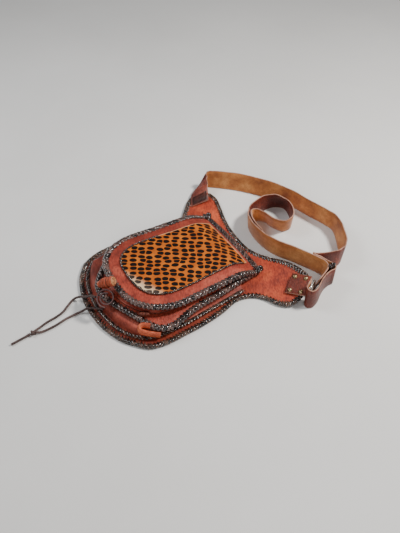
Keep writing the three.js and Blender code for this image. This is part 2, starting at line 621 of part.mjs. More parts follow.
function addMainFlap() {
  const grid = patch(MAIN_FLAP, evenSteps(-1, 1, 14), FLAP_ROWS);
  add('main_flap', sheet(grid, mainUnderside, FLAP_THICK), RED_LEATHER);
  const laced = grid.filter((row) => row[0][1] < LACED_TO_Y);
  const edge = freeEdge(laced.length, laced[0].length).map(([j, i]) => laced[j][i]);
  const lacing = edgeLacing(edge, false, mainUnderside, FLAP_THICK, MAIN_LACING, nearHinge);
  add('main_flap_lacing', lacing, DARK_LACE);
  const flapTop = (x, y) => mainUnderside(x, y) + FLAP_THICK;
  const { halfLength, y, bow, width, thick } = HINGE_LACING;
  const hinge = evenSteps(-1, 1, 16).map((u) => [halfLength * u, y - bow * u * u]);
  add('flap_hinge_lacing', laidLacing(hinge, flapTop, width, thick), DARK_LACE);
  const printRows = [...evenSteps(0, 0.7, 6), ...evenSteps(0.76, 1, 6)];
  const printGrid = patch(PRINT, evenSteps(-1, 1, 10), printRows);
  add('print_panel', sheet(printGrid, (x, y) => flapTop(x, y) + GAP, PRINT_THICK), HIDE);
}

function addToggles() {
  const { length, radius } = TOGGLE;
  const half = length / 2;
  const rolled = [
    [0, -half], [radius * 0.62, -half], [radius * 0.7, -half * 0.62], [radius * 0.86, -half * 0.6],
    [radius * 0.9, -half * 0.2], [radius, -half * 0.18], [radius, half * 0.3], [radius * 0.82, half * 0.34],
    [radius * 0.82, half * 0.66], [radius * 0.9, half * 0.7], [radius * 0.9, half], [0, half],
  ];
  aim(add('toggle_upper', lathe(rolled, 14), BRIGHT_LEATHER), TOGGLE, TOGGLE.axis);
  const r = TOGGLE_LOWER.radius;
  const h = TOGGLE_LOWER.length / 2;
  const bead = [[0, -h], [r * 0.6, -h * 0.8], [r, -h * 0.3], [r, h * 0.3], [r * 0.6, h * 0.8], [0, h]];
  aim(add('toggle_lower', lathe(bead, 10), BRIGHT_LEATHER), TOGGLE_LOWER, TOGGLE_LOWER.axis);
}

function addPullLoop() {
  const rings = evenSteps(0, 1, 28).map((t) => {
    const turn = 2 * Math.PI * CURL.turns * t;
    const radius = CURL.outer + (CURL.inner - CURL.outer) * t;
    const section = [[0, -0.5], [0, 0.5], [-1, 0.5], [-1, -0.5]];
    return section.map(([out, up]) => {
      const r = radius + out * CURL.thick;
      return new THREE.Vector3(r * Math.cos(turn), up * CURL.width, r * Math.sin(turn));
    });
  });
  aim(add('pull_loop', sweep(rings, false), THONG_LEATHER), CURL, CURL.normal);
  const path = spaceCurve(RED_LOOP.map((p) => [p.x, p.y, p.z]));
  const ribbon = evenSteps(0, 1, 18).map((t) => {
    const along = path.getTangent(t);
    const side = new THREE.Vector3(-along.y, along.x, 0).normalize();
    const up = along.clone().cross(side).normalize();
    return [[-1, -1], [1, -1], [1, 1], [-1, 1]].map(([a, b]) => (
      path.getPoint(t)
        .addScaledVector(side, (a * RED_LOOP_THICK) / 2)
        .addScaledVector(up, (b * RED_LOOP_WIDTH) / 2)
    ));
  });
  add('red_loop', sweep(ribbon, false), BRIGHT_LEATHER);
}

function addStraps() {
  add('belt_strap', strapBody(strapFrames(BELT, 104)), TAN_LEATHER);
  add('adjusting_strap', strapBody(strapFrames(ADJUSTING, 78)), TAN_LEATHER);
  const frames = strapFrames(TAB, 4);
  add('strap_tab', strapBody(frames), RED_LEATHER);
  const start = frames[0];
  let number = 0;
  for (const along of RIVET_ALONG) {
    for (const across of RIVET_ACROSS) {
      number += 1;
      const at = start.middle.clone().addScaledVector(start.along, along).addScaledVector(start.up, across);
      at.addScaledVector(start.face, STRAP_THICK / 2 + GAP);
      const dome = evenSteps(0, 1, 3).map((t) => [
        RIVET_RADIUS * Math.cos((Math.PI / 2) * t), RIVET_HEIGHT * Math.sin((Math.PI / 2) * t),
      ]);
      dome[3][0] = 0;
      aim(add(`rivet_${number}`, lathe([[0, 0], ...dome], 12), BRASS), at, start.face.toArray());
    }
  }
}

function addHardware() {
  const bar = [RING_NEAR, RING_FAR].map((p) => [[p.x, p.y, RING_LOW], [p.x, p.y, RING_HIGH]]);
  const loop = [bar[0][0], bar[0][1], bar[1][1], bar[1][0]].map((p) => new THREE.Vector3(...p));
  const flat = loop[2].clone().sub(loop[1]).normalize();
  const out = flat.clone().cross(new THREE.Vector3(0, 0, 1));
  const middle = loop[0].clone().add(loop[2]).multiplyScalar(0.5);
  const rings = loop.map((corner) => {
    const away = corner.clone().sub(middle);
    const diagonal = flat.clone().multiplyScalar(Math.sign(away.dot(flat))).setZ(Math.sign(away.z));
    return evenSteps(0, 1, 8).slice(0, -1).map((t) => (
      corner.clone()
        .addScaledVector(diagonal, RING_WIRE * Math.cos(2 * Math.PI * t))
        .addScaledVector(out, RING_WIRE * Math.sin(2 * Math.PI * t))
    ));
  });
  add('metal_ring', sweep(rings, true), STEEL);
  const box = new THREE.BoxGeometry(KEEPER.width, KEEPER.depth, KEEPER.high - KEEPER.low);
  const keeper = add('keeper', box, DARK_LACE);
  keeper.position.set(KEEPER.x, KEEPER.y, (KEEPER.high + KEEPER.low) / 2);
}

function addThong() {
  const radius = THONG_WIDTH / 2;
  add('thong_upper', tube(THONG_UPPER, radius, 8, 14), THONG_LEATHER);
  add('thong_lower', tube(THONG_LOWER, radius, 8, 13), THONG_LEATHER);
  add('thong_tail', tube(THONG_TAIL, radius, 8, 8), THONG_LEATHER);
  const round = evenSteps(-1, 1, 6).map((t) => [
    KNOT.radius * Math.cos((Math.PI / 2) * t), KNOT.radius * Math.sin((Math.PI / 2) * t),
  ]);
  round[0][0] = 0;
  round[6][0] = 0;
  aim(add('thong_knot', lathe(round, 10), THONG_LEATHER), KNOT, [0, 0, 1]);
}

addBack();
addLowerPouch();
addLowerFlap();
addUpperPocket();
addMainFlap();
addToggles();
addPullLoop();
addStraps();
addHardware();
addThong();

// The origin is under the middle of the bag and its straps, the thong left out
const CORDS = ['thong_upper', 'thong_lower', 'thong_tail', 'thong_knot'];
bag.updateMatrixWorld(true);
const extent = new THREE.Box3();
for (const mesh of bag.children) {
  if (!CORDS.includes(mesh.name)) extent.expandByObject(mesh);
}
const centre = extent.getCenter(new THREE.Vector3());
bag.position.set(-centre.x, -centre.y, -extent.min.z);

export default bag;
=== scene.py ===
"""The leather hip bag in Blender: laced sheets, rolled toggles, and straps that stand on edge.

Lengths in the tables are millimetres in the bag's own frame: x to the right, y towards the belt
and z up, with the bag on its back. row() turns them into metres in the row frame.
"""

import math

import bpy
import numpy as np
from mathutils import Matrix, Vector


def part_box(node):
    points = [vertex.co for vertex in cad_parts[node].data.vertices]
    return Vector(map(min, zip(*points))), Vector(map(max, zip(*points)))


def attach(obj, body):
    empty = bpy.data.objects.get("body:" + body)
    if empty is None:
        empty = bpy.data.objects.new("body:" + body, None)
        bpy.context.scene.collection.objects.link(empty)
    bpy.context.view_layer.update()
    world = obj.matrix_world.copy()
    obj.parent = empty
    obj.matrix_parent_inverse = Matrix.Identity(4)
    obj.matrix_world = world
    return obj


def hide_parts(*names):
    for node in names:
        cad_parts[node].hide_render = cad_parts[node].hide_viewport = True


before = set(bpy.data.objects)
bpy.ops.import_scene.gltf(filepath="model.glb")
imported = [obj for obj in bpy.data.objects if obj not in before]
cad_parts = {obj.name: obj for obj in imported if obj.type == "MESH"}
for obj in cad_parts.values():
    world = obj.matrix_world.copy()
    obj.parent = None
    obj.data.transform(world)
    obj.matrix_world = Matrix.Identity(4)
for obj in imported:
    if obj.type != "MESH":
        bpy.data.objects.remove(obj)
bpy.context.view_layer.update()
rng = np.random.default_rng(7)

MM = 1000  # millimetres in a metre
PRINT_TIP = 68  # the bag frame's zero is this far above the hide panel's tip, on its middle line
print_low, print_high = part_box("print_panel")
SHIFT = np.array([(print_low[0] + print_high[0]) * MM / 2, print_low[1] * MM + PRINT_TIP, 0.0])


def row(p):
    """Bag millimetres to row metres."""
    return (np.asarray(p, float) + SHIFT) / MM


def add(name, data):
    """A new object in the scene."""
    obj = bpy.data.objects.new(name, data)
    bpy.context.scene.collection.objects.link(obj)
    return obj


# ------------ camera
TARGET = np.array([8.4, 65.1, 0.0])
AZIMUTH, ELEVATION, DISTANCE, LENS, SENSOR = 57.0, 47.5, 1023.0, 39.1, 36
az, el = math.radians(AZIMUTH), math.radians(ELEVATION)
toward = np.array([math.sin(az) * math.cos(el), -math.cos(az) * math.cos(el), math.sin(el)])
camera_data = bpy.data.cameras.new("camera")
camera_data.lens = LENS
camera_data.sensor_width = SENSOR
camera = add("camera", camera_data)
camera.location = Vector(row(TARGET + DISTANCE * toward))
camera.rotation_euler = Vector(toward).to_track_quat("Z", "Y").to_euler()
bpy.context.scene.camera = camera

# ------------ sizes and tables
BACK_THICK, FLAP_THICK, POUCH_THICK, PRINT_THICK = 2.6, 2.6, 2.4, 1.5
STRAP_THICK, STRAP_WIDTH, STRAP_ROUND, STRAP_LOW = 2.2, 38.0, 0.5, 0.8
GAP = 0.35  # between two pieces that lie on each other
POUCH_ROOM = 3.7  # from the top of a pouch to the underside of the flap over it
HINGE_Y = 147.0
LACED_TO = 136  # the flaps' edges are laced from one hinge end to the other, up to this y
# Half-outlines seen from above, as (distance from the middle line, y). The bottom and top run
# outwards and the side runs up; a left_ table stands where the left half differs.
BACK = {
    "bottom": [(0, -142.5), (27, -140.5), (53, -134.5), (78, -124), (103, -105)],
    "side": [
        (103, -105), (111.8, -95.5), (117, -81), (120, -60), (119.8, -38), (119.5, 0), (115, 40),
        (108, 70), (110, 88), (119, 105), (134, 117), (152, 126), (164, 138), (167, 152),
        (161, 174), (148, 193),
    ],
    "top": [(0, 157), (29, 159.5), (58, 172), (87, 185), (109, 190.5), (130, 194), (148, 193)],
    "left_side": [
        (103, -105), (113, -80), (117, -40), (117, 0), (112, 40), (103, 66), (102, 82), (111, 102),
        (131, 123), (144, 137), (152, 151), (151, 169), (141, 185),
    ],
    "left_top": [(0, 157), (34, 160.5), (64, 167.5), (96, 178.5), (123, 186.5), (141, 185)],
}
POUCH = {
    "bottom": [(0, -131), (25, -129), (55, -122), (80, -109), (97, -92)],
    "side": [(97, -92), (104, -68), (106, -30), (103, 42), (100, 96)],
    "top": [(0, 96), (50, 96), (100, 96)],
    "left_side": [(97, -92), (103, -68), (104, -30), (101, 24), (94, 66), (93, 96)],
    "left_top": [(0, 96), (46, 96), (93, 96)],
}
LOWER_FLAP = {
    "bottom": [(0, -117.5), (18, -112.5), (52, -98.5), (80, -86), (97, -76)],
    "side": [
        (97, -76), (106, -63), (107.5, -44), (101, -20), (96, 6), (90, 69), (81, 130),
        (78, HINGE_Y),
    ],
    "top": [(0, HINGE_Y), (40, HINGE_Y), (78, HINGE_Y)],
    "left_bottom": [(0, -117.5), (16, -118), (31, -112), (48, -98), (64, -82)],
    "left_side": [
        (64, -82), (80, -66), (89, -46), (93, -20), (93, 6), (89, 69), (81, 130), (78, HINGE_Y),
    ],
}
POCKET = {
    "bottom": [(0, -100), (28, -98), (50, -88), (66, -76), (77, -60)],
    "side": [(77, -60), (82, -38), (82, 0), (79, 45), (75, 90)],
    "top": [(0, 90), (40, 90), (75, 90)],
    "left_bottom": [(0, -100), (18, -100), (34, -93), (48, -81), (57, -73)],
    "left_side": [(57, -73), (70, -56), (77, -36), (80, 0), (79, 45), (75, 90)],
}
MAIN_FLAP = {
    "bottom": [(0, -95), (31, -93), (54, -84.5), (72.5, -68), (83, -50)],
    "side": [(83, -50), (88, -30), (87, 30), (85, 90), (82.5, 142)],
    "top": [(0, 146), (45, 145), (82.5, 142)],
}
PRINT = {
    "bottom": [(0, -68), (26, -66), (45, -58), (57, -44), (63, -26)],
    "side": [(63, -26), (64, 0), (61, 60), (58, 128)],
    "top": [(0, 131), (30, 130), (58, 128)],
}


def standing(rows):
    """Rows of a strap that stands on the table, which leave out the lower edge's height."""
    return [(x, y, STRAP_LOW, *lean) for x, y, *lean in rows]


# Straps: x, y and height of the lower edge, then the upper edge's lean in x and y
BELT = [
    (-128, 133, 5.6, 4, 37.7), (-142, 141.5, 6.9, 5, 37), (-156, 152, 7, 6, 34),
    (-166, 165, 4.2, 6, 26), (-171, 178, 1.8, 5, 15),
] + standing([
    (-170, 188, 1.5, 10), (-164.5, 197, -1.5, 7), (-142, 222, -6, 4), (-120, 243, -7, 5),
    (-78, 274, -3, 6), (-34, 298, -1, 2), (9, 310, 0, 0.5), (48, 320.5, 0, 0.5),
    (66, 322.5, 0.5, 1.5), (90, 311, 3, 5.5), (113, 296, 6, 6), (130, 286, 2, 2),
    (138, 272, -2, 0), (137.5, 258, -5, -1), (131, 244, -6, -4), (123, 234, -4, -4),
    (118.2, 229.9, -2, -2.5), (121.4, 228, -0.5, -0.5), (131, 231.9, 0, 0), (142, 234.7, 0, 0),
    (151, 237.8, 0, 0), (159, 239, 0, 0), (165, 233.5, 0, 0), (165, 225, -0.5, 0),
    (168, 211, -1, 0), (175, 197, -1.5, -0.5), (182, 186, -2, -1), (186, 176, -3, 0),
    (186.5, 168, -4, 1.5), (182.5, 163, -5.5, 3.5), (177, 163, -7, 5.5),
]) + [(173, 167, 1.6, -8, 9.5), (169.5, 172, 4, -9, 13.5)]
ADJUSTING = standing([
    (160, 195, 8, 3), (156, 207, 7.5, 3), (153, 218, 6, 3), (149.5, 227, 3, 2), (142, 230.5, 0, 1),
    (131, 228, 0, 0), (119, 223, 0, 0), (87, 208.5, 0, 0), (56, 192.5, 0, 0), (23, 186.5, 3, -1.5),
    (-11, 190.4, 5.3, -4.4), (-29, 198.7, 2.5, -5.7), (-37.5, 216.8, -5, -5.3),
    (-46, 241, -3, -0.8), (-46, 266, 3.5, -2.5), (-32.5, 284, 11, -7.2), (-2, 277, 8.6, -5),
    (18.5, 259.5, 6.5, -4), (18, 244.5, 8, -7.5), (3, 234.5, 7, -9.5), (-19, 230, 5, -10),
    (-30, 222, 2.5, -9), (-30.5, 209.5, 1, -6), (-17, 197.3, 0.5, -3.3), (4, 192.5, 0.5, -3.7),
    (22, 190.4, 0, -2.2),
])
TAB = [(143.5, 147, 10.4, -19.5, 30.5), (170.7, 165.9, 16.17, -19.5, 30.5)]
RIVET_ALONG, RIVET_ACROSS = (6, 25), (-13, 13)
# Turned bodies: radius and height, from one end to the other
RIVET_DOME = [
    (4.1, 0), (4.1, 0.35), (3.75, 0.6), (3.4, 1.25), (2.7, 1.95), (1.8, 2.45), (0.9, 2.72),
    (0.05, 2.8),
]
SMALL_TOGGLE = [
    (0.3, -9), (2.2, -8.6), (3, -6), (3.5, -3), (3.1, -2.7), (3.5, -2.3), (3.6, 1.8), (3.1, 2.2),
    (3.4, 2.6), (3, 6), (2.1, 8.6), (0.3, 9),
]
LACE_END = [(0, -3), (1.6, -2.6), (1.9, 0), (1.6, 2.6), (0, 3)]
# Large toggle: every layer's radius and where it starts and ends, as parts of the whole, then
# one layer's profile as (part of the radius lost, part of the layer's length)
ROLL_CENTRE, ROLL_AXIS = (-3.9, -106.3, 52.1), (0.606, 0.645, 0.467)
ROLL_HALF, ROLL_RADIUS = 15.0, 8.9
ROLL_LAYERS = [
    (0.6, -1.0, -0.66), (0.8, -0.66, -0.4), (0.95, -0.4, -0.02), (1.0, -0.02, 0.3),
    (0.86, 0.3, 0.62), (0.93, 0.62, 1.0),
]
ROLL_LAYER = [(0.3, 0.0), (0.06, 0.03), (0.0, 0.14), (0.0, 0.78), (0.06, 0.9), (0.3, 0.93)]
# Edge lacing: how far it reaches in and out, its rise over the leather, the strands' pitch, width
# and height, and how far their ends lie further in
BACK_LACING = (4.8, 2.3, 1.6, 5.8, 3.5, 1.6, 2.0)
FLAP_LACING = (5.4, 3.1, 2.3, 7.0, 4.5, 2.6, 1.0)
# Strands across the seam and the hinge: (along in pitches, across, height), width and height
SEAM = [
    ([(-0.8, -3.0, 0.2), (-0.35, -1.6, 1.5), (0.35, 1.6, 1.5), (0.8, 3.0, 0.2)], 3.2, 1.5),
    ([(0.8, -3.0, 0.2), (0.35, -1.5, 1.0), (-0.35, 1.5, 1.0), (-0.8, 3.0, 0.2)], 2.8, 1.2),
]
HINGE = [
    ([(-0.9, -4.9, 0.2), (-0.4, -2.6, 2.0), (0.4, 2.6, 2.0), (0.9, 4.9, 0.2)], 3.4, 2.2),
    ([(0.9, -4.9, 0.2), (0.4, -2.4, 1.5), (-0.4, 2.4, 1.5), (-0.9, 4.9, 0.2)], 3.0, 1.6),
]
# Thong: x, y and height of its middle line
FLOOR = 2.3  # height of a strand that lies on the table
THONG_UPPER = [
    (4.3, -130.9, 40.4), (-3, -133, 36.5), (-12, -135.5, 29.5), (-21, -138, 21), (-31, -142, 13),
    (-38, -147, 8), (-41, -151, 5), (-42, -156, FLOOR), (-35, -168, FLOOR), (-28, -179, FLOOR),
    (-24, -193, FLOOR), (-22, -210, FLOOR), (-19, -222, FLOOR), (-17, -229, FLOOR + 0.6),
    (-15, -233.5, FLOOR + 1.8),
]
THONG_LOWER = [
    (12, -125, 13), (8, -128, 12), (4, -132, 11), (-1, -136, 10), (-5, -141, 9), (-8, -147, 8),
    (-10, -152, 4.6), (-12, -158, FLOOR), (-12, -166, FLOOR), (-12, -176, FLOOR),
    (-11, -186, FLOOR), (-9, -197, FLOOR), (-8, -208, FLOOR), (-8, -218, FLOOR),
    (-8.6, -226, FLOOR + 0.4), (-11, -233.5, FLOOR + 1.8),
]
THONG_TAIL = [
    (-13.1, -241.9, FLOOR + 1.6), (-13.6, -247, FLOOR + 0.4), (-13.6, -251, FLOOR),
    (-13.2, -256, FLOOR), (-13, -260, FLOOR), (-12.6, -264, FLOOR), (-12.2, -268, FLOOR),
    (-12, -272, FLOOR), (-12, -275, FLOOR),
]
RED_LOOP = [
    (106.8, -72.8, 13), (98.5, -86, 16.5), (92.6, -94.4, 20), (88.6, -98, 23), (85.2, -96.8, 25.8),
    (84.6, -92.4, 27), (87.2, -87.6, 27), (91.4, -81.4, 26),
]


# ------------ curves and height fields
def smooth(t):
    """Nought to one with an even start and end."""
    t = np.clip(t, 0, 1)
    return t * t * (3 - 2 * t)


def spline(points, per=16):
    """Centripetal curve through the points, per steps to each of them."""
    p = np.array(points, float)
    p = np.vstack([2 * p[0] - p[1], p, 2 * p[-1] - p[-2]])
    out = []
    t = np.linspace(0, 1, per, endpoint=False)[:, None]
    for a, b, c, d in zip(p, p[1:], p[2:], p[3:]):
        k0, k1, k2 = [max(1e-4, ((v - u) ** 2).sum()) ** 0.25 for u, v in ((a, b), (b, c), (c, d))]
        m1 = ((b - a) / k0 - (c - a) / (k0 + k1) + (c - b) / k1) * k1
        m2 = ((c - b) / k1 - (d - b) / (k1 + k2) + (d - c) / k2) * k1
        out.append(
            b * (2 * t**3 - 3 * t**2 + 1) + m1 * (t**3 - 2 * t**2 + t)
            + c * (3 * t**2 - 2 * t**3) + m2 * (t**3 - t**2)
        )
    return np.vstack(out + [p[-2:-1]])


def lengths(path, closed=False):
    """Distance along a path at each of its points."""
    step = np.linalg.norm(np.diff(np.vstack([path, path[:1]]) if closed else path, axis=0), axis=1)
    return np.concatenate([[0], np.cumsum(step)])


def at(path, s, closed=False):
    """Points at distances s along a path."""
    run = lengths(path, closed)
    full = np.vstack([path, path[:1]]) if closed else path
    s = np.mod(s, run[-1]) if closed else np.clip(s, 0, run[-1])
    return np.stack([np.interp(s, run, full[:, k]) for k in range(path.shape[1])], -1)


def half(outline, name, left):
    """One curve of an outline, on the right half or mirrored onto the left one."""
    if left:
        return spline(outline.get("left_" + name, outline[name])) * (-1, 1)
    return spline(outline[name])


def patch(outline, us, vs):
    """A smooth patch of plan points that fills an outline, rows by vs and columns by us."""
    us, vs = np.asarray(us, float), np.asarray(vs, float)
    low, high = np.zeros((len(us), 2)), np.zeros((len(us), 2))
    for left in (False, True):
        mask = us < 0 if left else us >= 0
        for store, name in ((low, "bottom"), (high, "top")):
            path = half(outline, name, left)
            store[mask] = at(path, np.abs(us[mask]) * lengths(path)[-1])
    ends = []
    for left in (True, False):
        path = half(outline, "side", left)
        ends.append(at(path, np.concatenate([vs, [0, 1]]) * lengths(path)[-1]))
    a = ((us + 1) / 2)[None, :, None]
    side = ends[0][:, None] * (1 - a) + ends[1][:, None] * a
    v = vs[:, None, None]
    return low * (1 - v) + high * v + side[:-2] - (side[-2] * (1 - v) + side[-1] * v)


def ring_of(outline):
    """The whole outline once round, anticlockwise from the left corner."""
    return np.vstack([
        half(outline, "bottom", True)[::-1], half(outline, "bottom", False)[1:],
        half(outline, "side", False)[1:], half(outline, "top", False)[::-1][1:],
        half(outline, "top", True)[1:], half(outline, "side", True)[::-1][1:-1],
    ])


def free_edge(outline, upto):
    """The outline from one hinge end round the tip to the other."""
    left, right = half(outline, "side", True), half(outline, "side", False)
    return np.vstack([
        left[left[:, 1] < upto][::-1], half(outline, "bottom", True)[::-1][1:],
        half(outline, "bottom", False)[1:], right[right[:, 1] < upto][1:],
    ])


def wobble(x, y):
    """Slight waviness that every layer shares."""
    return (
        0.35 * np.sin(x / 29 + 1.3) * np.sin(y / 33 + 0.4) + 0.22 * np.sin(x / 13 - y / 19)
        + 0.15 * np.sin(y / 9.5 + x / 21 + 2)
    )


BACK_LOW, WING_START, WING_EASE, WING_SLOPE, WING_LIFT = 1.4, 134, 24, 0.42, 2


def back_under(x, y):
    """Underside of the back, whose right wing rises past WING_START, towards the belt."""
    past = np.maximum(0, y - WING_START)
    ramp = past * past / (past + WING_EASE)
    spread = smooth((x - 40) / 75)
    ease = 1 - 0.35 * smooth((x - 145) / 30)
    wing = WING_SLOPE * ramp * spread * ease + WING_LIFT * smooth((x - 115) / 45)
    return BACK_LOW + wing + 0.6 * wobble(x, y)


def back_top(x, y):
    return back_under(x, y) + BACK_THICK


# Each flap bends up past the hinge over this length, by this rise, and stands higher at its tip
LOWER_BEND, LOWER_RISE, LOWER_TIP, LOWER_DROOP = 50, 10.5, 12, 3.5
MAIN_BEND, MAIN_RISE, MAIN_TIP = 58, 11, 4


def lower_under(x, y):
    """Underside of the lower flap, which lies over the lower pouch and droops at its sides."""
    bend = smooth((HINGE_Y - y) / LOWER_BEND)
    droop = LOWER_DROOP * np.minimum(1.6, (np.abs(x) / 95) ** 4)
    tip = LOWER_TIP * np.clip((110 - y) / 220, 0, 1)
    return back_top(x, y) + 2 * GAP + bend * (LOWER_RISE - droop) + tip


def lower_top(x, y):
    return lower_under(x, y) + FLAP_THICK


def main_under(x, y):
    """Underside of the main flap, which lies over the lower flap and its pocket."""
    bend = smooth((HINGE_Y - y) / MAIN_BEND)
    depth = GAP + MAIN_RISE * bend + MAIN_TIP * np.clip((100 - y) / 200, 0, 1)
    return lower_top(x, y) + depth + 0.5 * bend * wobble(x * 1.7, y * 1.3)


def flap_top(x, y):
    return main_under(x, y) + FLAP_THICK


def seam_floor(x, y):
    """Top of the lower pouch's flange."""
    return back_top(x, y) + GAP + POUCH_THICK


def print_floor(x, y):
    return flap_top(x, y) + GAP


def even(y):
    """Lacing of one size from end to end."""
    return np.ones_like(y)


def near_hinge(y):
    """Lacing that gets lower where a flap goes under the hinge strip."""
    return 0.6 + 0.4 * smooth((134 - y) / 24)


# ------------ meshes
SKIM = 0.05  # nothing reaches below this height, just off the table


def unit(v):
    return v / np.maximum(1e-9, np.linalg.norm(v, axis=-1, keepdims=True))


def around(count):
    return np.arange(count) * 2 * math.pi / count


def grid_faces(rows, columns, offset=0, closed_rows=False, closed_columns=False):
    """Quads of a grid of points that is numbered row by row from offset."""
    j, i = np.meshgrid(
        np.arange(rows - (not closed_rows)), np.arange(columns - (not closed_columns)),
        indexing="ij",
    )
    j2, i2 = (j + 1) % rows, (i + 1) % columns
    corners = [j * columns + i, j * columns + i2, j2 * columns + i2, j2 * columns + i]
    return (np.stack(corners, -1).reshape(-1, 4) + offset).tolist()


def ring_faces(count, steps, sides, closed):
    """Faces of count bodies of rings of points, capped at both ends if they aren't closed."""
    bases = [n * steps * sides for n in range(count)]
    faces = [f for base in bases for f in grid_faces(steps, sides, base, closed, True)]
    if not closed:
        for base in bases:
            faces.append([base + k for k in range(sides)][::-1])
            faces.append([base + (steps - 1) * sides + k for k in range(sides)])
    return faces


def build(name, points, faces, materials, node=None, kinds=None, uv=None):
    """A smooth mesh object from bag millimetres, riding on the root, in place of a node."""
    mesh = bpy.data.meshes.new(name)
    points = np.array(points, float)
    points[:, 2] = np.maximum(points[:, 2], SKIM)
    mesh.from_pydata(row(points).tolist(), [], faces)
    for material in materials:
        mesh.materials.append(material)
    if kinds is not None:
        mesh.polygons.foreach_set("material_index", np.asarray(kinds, np.int32))
    mesh.polygons.foreach_set("use_smooth", np.ones(len(mesh.polygons), bool))
    if uv is not None:
        layer = mesh.uv_layers.new(name="plan")
        loops = np.zeros(len(mesh.loops), np.int32)
        mesh.loops.foreach_get("vertex_index", loops)
        layer.data.foreach_set("uv", np.asarray(uv, float)[loops].ravel())
    mesh.validate()
    obj = add(name, mesh)
    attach(obj, "root")
    if node:
        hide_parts(node)
    return obj


def join_meshes(parts):
    """Points and faces of several (points, faces) as one."""
    points, faces, base = [], [], 0
    for p, f in parts:
        points.append(np.asarray(p).reshape(-1, 3))
        faces += [[k + base for k in face] for face in f]
        base += len(points[-1])
    return np.vstack(points), faces


def shell(lower, upper, bulge=0.5):
    """A closed wall between two grids of points, whose edge bulges slightly.

    Also returns the number of the upper faces, and of the upper and lower faces together.
    """
    rows, columns = upper.shape[:2]
    count = rows * columns
    grid = np.arange(count).reshape(rows, columns)
    rim = np.concatenate([grid[0, :-1], grid[:-1, -1], grid[-1, :0:-1], grid[:0:-1, 0]]).tolist()
    middle = (upper.reshape(-1, 3)[rim] + lower.reshape(-1, 3)[rim]) / 2
    away = middle - np.roll(middle, 1, 0)
    out = np.stack([away[:, 1], -away[:, 0], 0 * away[:, 0]], 1)
    out /= np.maximum(1e-9, np.linalg.norm(out, axis=1))[:, None]
    points = np.vstack([lower.reshape(-1, 3), upper.reshape(-1, 3), middle + out * bulge])
    faces = grid_faces(rows, columns, count)
    faces += [f[::-1] for f in grid_faces(rows, columns)]
    flat = len(faces)
    for n, a in enumerate(rim):
        m = (n + 1) % len(rim)
        b = rim[m]
        faces.append([a, b, 2 * count + m, 2 * count + n])
        faces.append([2 * count + n, 2 * count + m, count + b, count + a])
    return points, faces, (rows - 1) * (columns - 1), flat


def leather_wall(name, lower, upper, look, node):
    """A wall with its own material on the top, the underside and the cut edge."""
    points, faces, top, flat = shell(lower, upper)
    kinds = [0] * top + [1] * (flat - top) + [2] * (len(faces) - flat)
    build(name, points, faces, look, node, kinds, points[:, :2])


def sheet(name, outline, under, thick, look, node, us, vs):
    """A leather sheet on a height field, with us by vs points."""
    g = patch(outline, np.linspace(-1, 1, us), np.linspace(0, 1, vs))
    x, y = g[..., 0], g[..., 1]
    z = under(x, y)
    leather_wall(name, np.dstack([x, y, z]), np.dstack([x, y, z + thick]), look, node)


def pouch(name, outline, base, over, look, node, gathers):
    """A pouch with a rounded wall on a flange, open at the belt end, under the surface over."""
    insets = np.array([0, 3.5, 6.4, 7.2, 8, 9, 10.4, 12.4, 15, 19, 24])
    levels = np.array([0, 0, 0.02, 0.14, 0.36, 0.62, 0.82, 0.92, 0.97, 0.99, 1])
    inner_us, inner_vs = 34, 40
    width = 2 * outline["side"][0][0]
    length = outline["top"][0][1] - outline["bottom"][0][1]
    near, tip = 2 * insets / width, insets / length
    middle = np.linspace(near[-1] - 1, 1 - near[-1], inner_us)[1:-1]
    us = np.concatenate([near - 1, middle, 1 - near[::-1]])
    vs = np.concatenate([tip, np.linspace(tip[-1], 1, inner_vs)[1:]])
    g = patch(outline, us, vs)
    x, y = g[..., 0], g[..., 1]
    j, i = np.meshgrid(np.arange(len(vs)), np.arange(len(us)), indexing="ij")
    ring = np.minimum(np.minimum(j, len(insets) - 1), np.minimum(i, len(us) - 1 - i))
    level = levels[np.minimum(ring, len(levels) - 1)]
    low = base(x, y) + GAP + POUCH_THICK
    ripple = gathers * np.sin((x + y) * 0.62) * np.sin((x - 1.3 * y) * 0.41)
    ripple = ripple * level * (1 - level) * 4
    upper = np.dstack([x, y, low + (over(x, y) - POUCH_ROOM - low) * level + ripple])
    normal = unit(np.cross(np.gradient(upper, axis=1), np.gradient(upper, axis=0)))
    leather_wall(name, upper - normal * POUCH_THICK, upper, look, node)


def tube(paths, across, up, width, height, sides=6, closed=False):
    """Flattened tubes. paths, across and up are (count, steps, 3); across is the wide way."""
    count, steps = paths.shape[:2]
    angle = around(sides)[:, None]
    points = (
        paths[:, :, None] + across[:, :, None] * (width / 2 * np.cos(angle))
        + up[:, :, None] * (height / 2 * np.sin(angle))
    )
    return points.reshape(-1, 3), ring_faces(count, steps, sides, closed)


def lay(line, away, width, height):
    """Flattened strands along lines of points; away is the way out of what they go round."""
    along = unit(np.gradient(line, axis=1))
    across = unit(np.cross(along, unit(away)))
    return tube(line, across, unit(np.cross(across, along)), width, height)


def spaced(path, closed, pitch, jitter):
    """Places of stitches along a path, a little uneven, and the step between them."""
    total = lengths(path, closed)[-1]
    count = max(2, int(round(total / pitch)))
    step = total / count
    return (np.arange(count) + 0.5) * step + rng.uniform(-jitter, jitter, count) * step, step


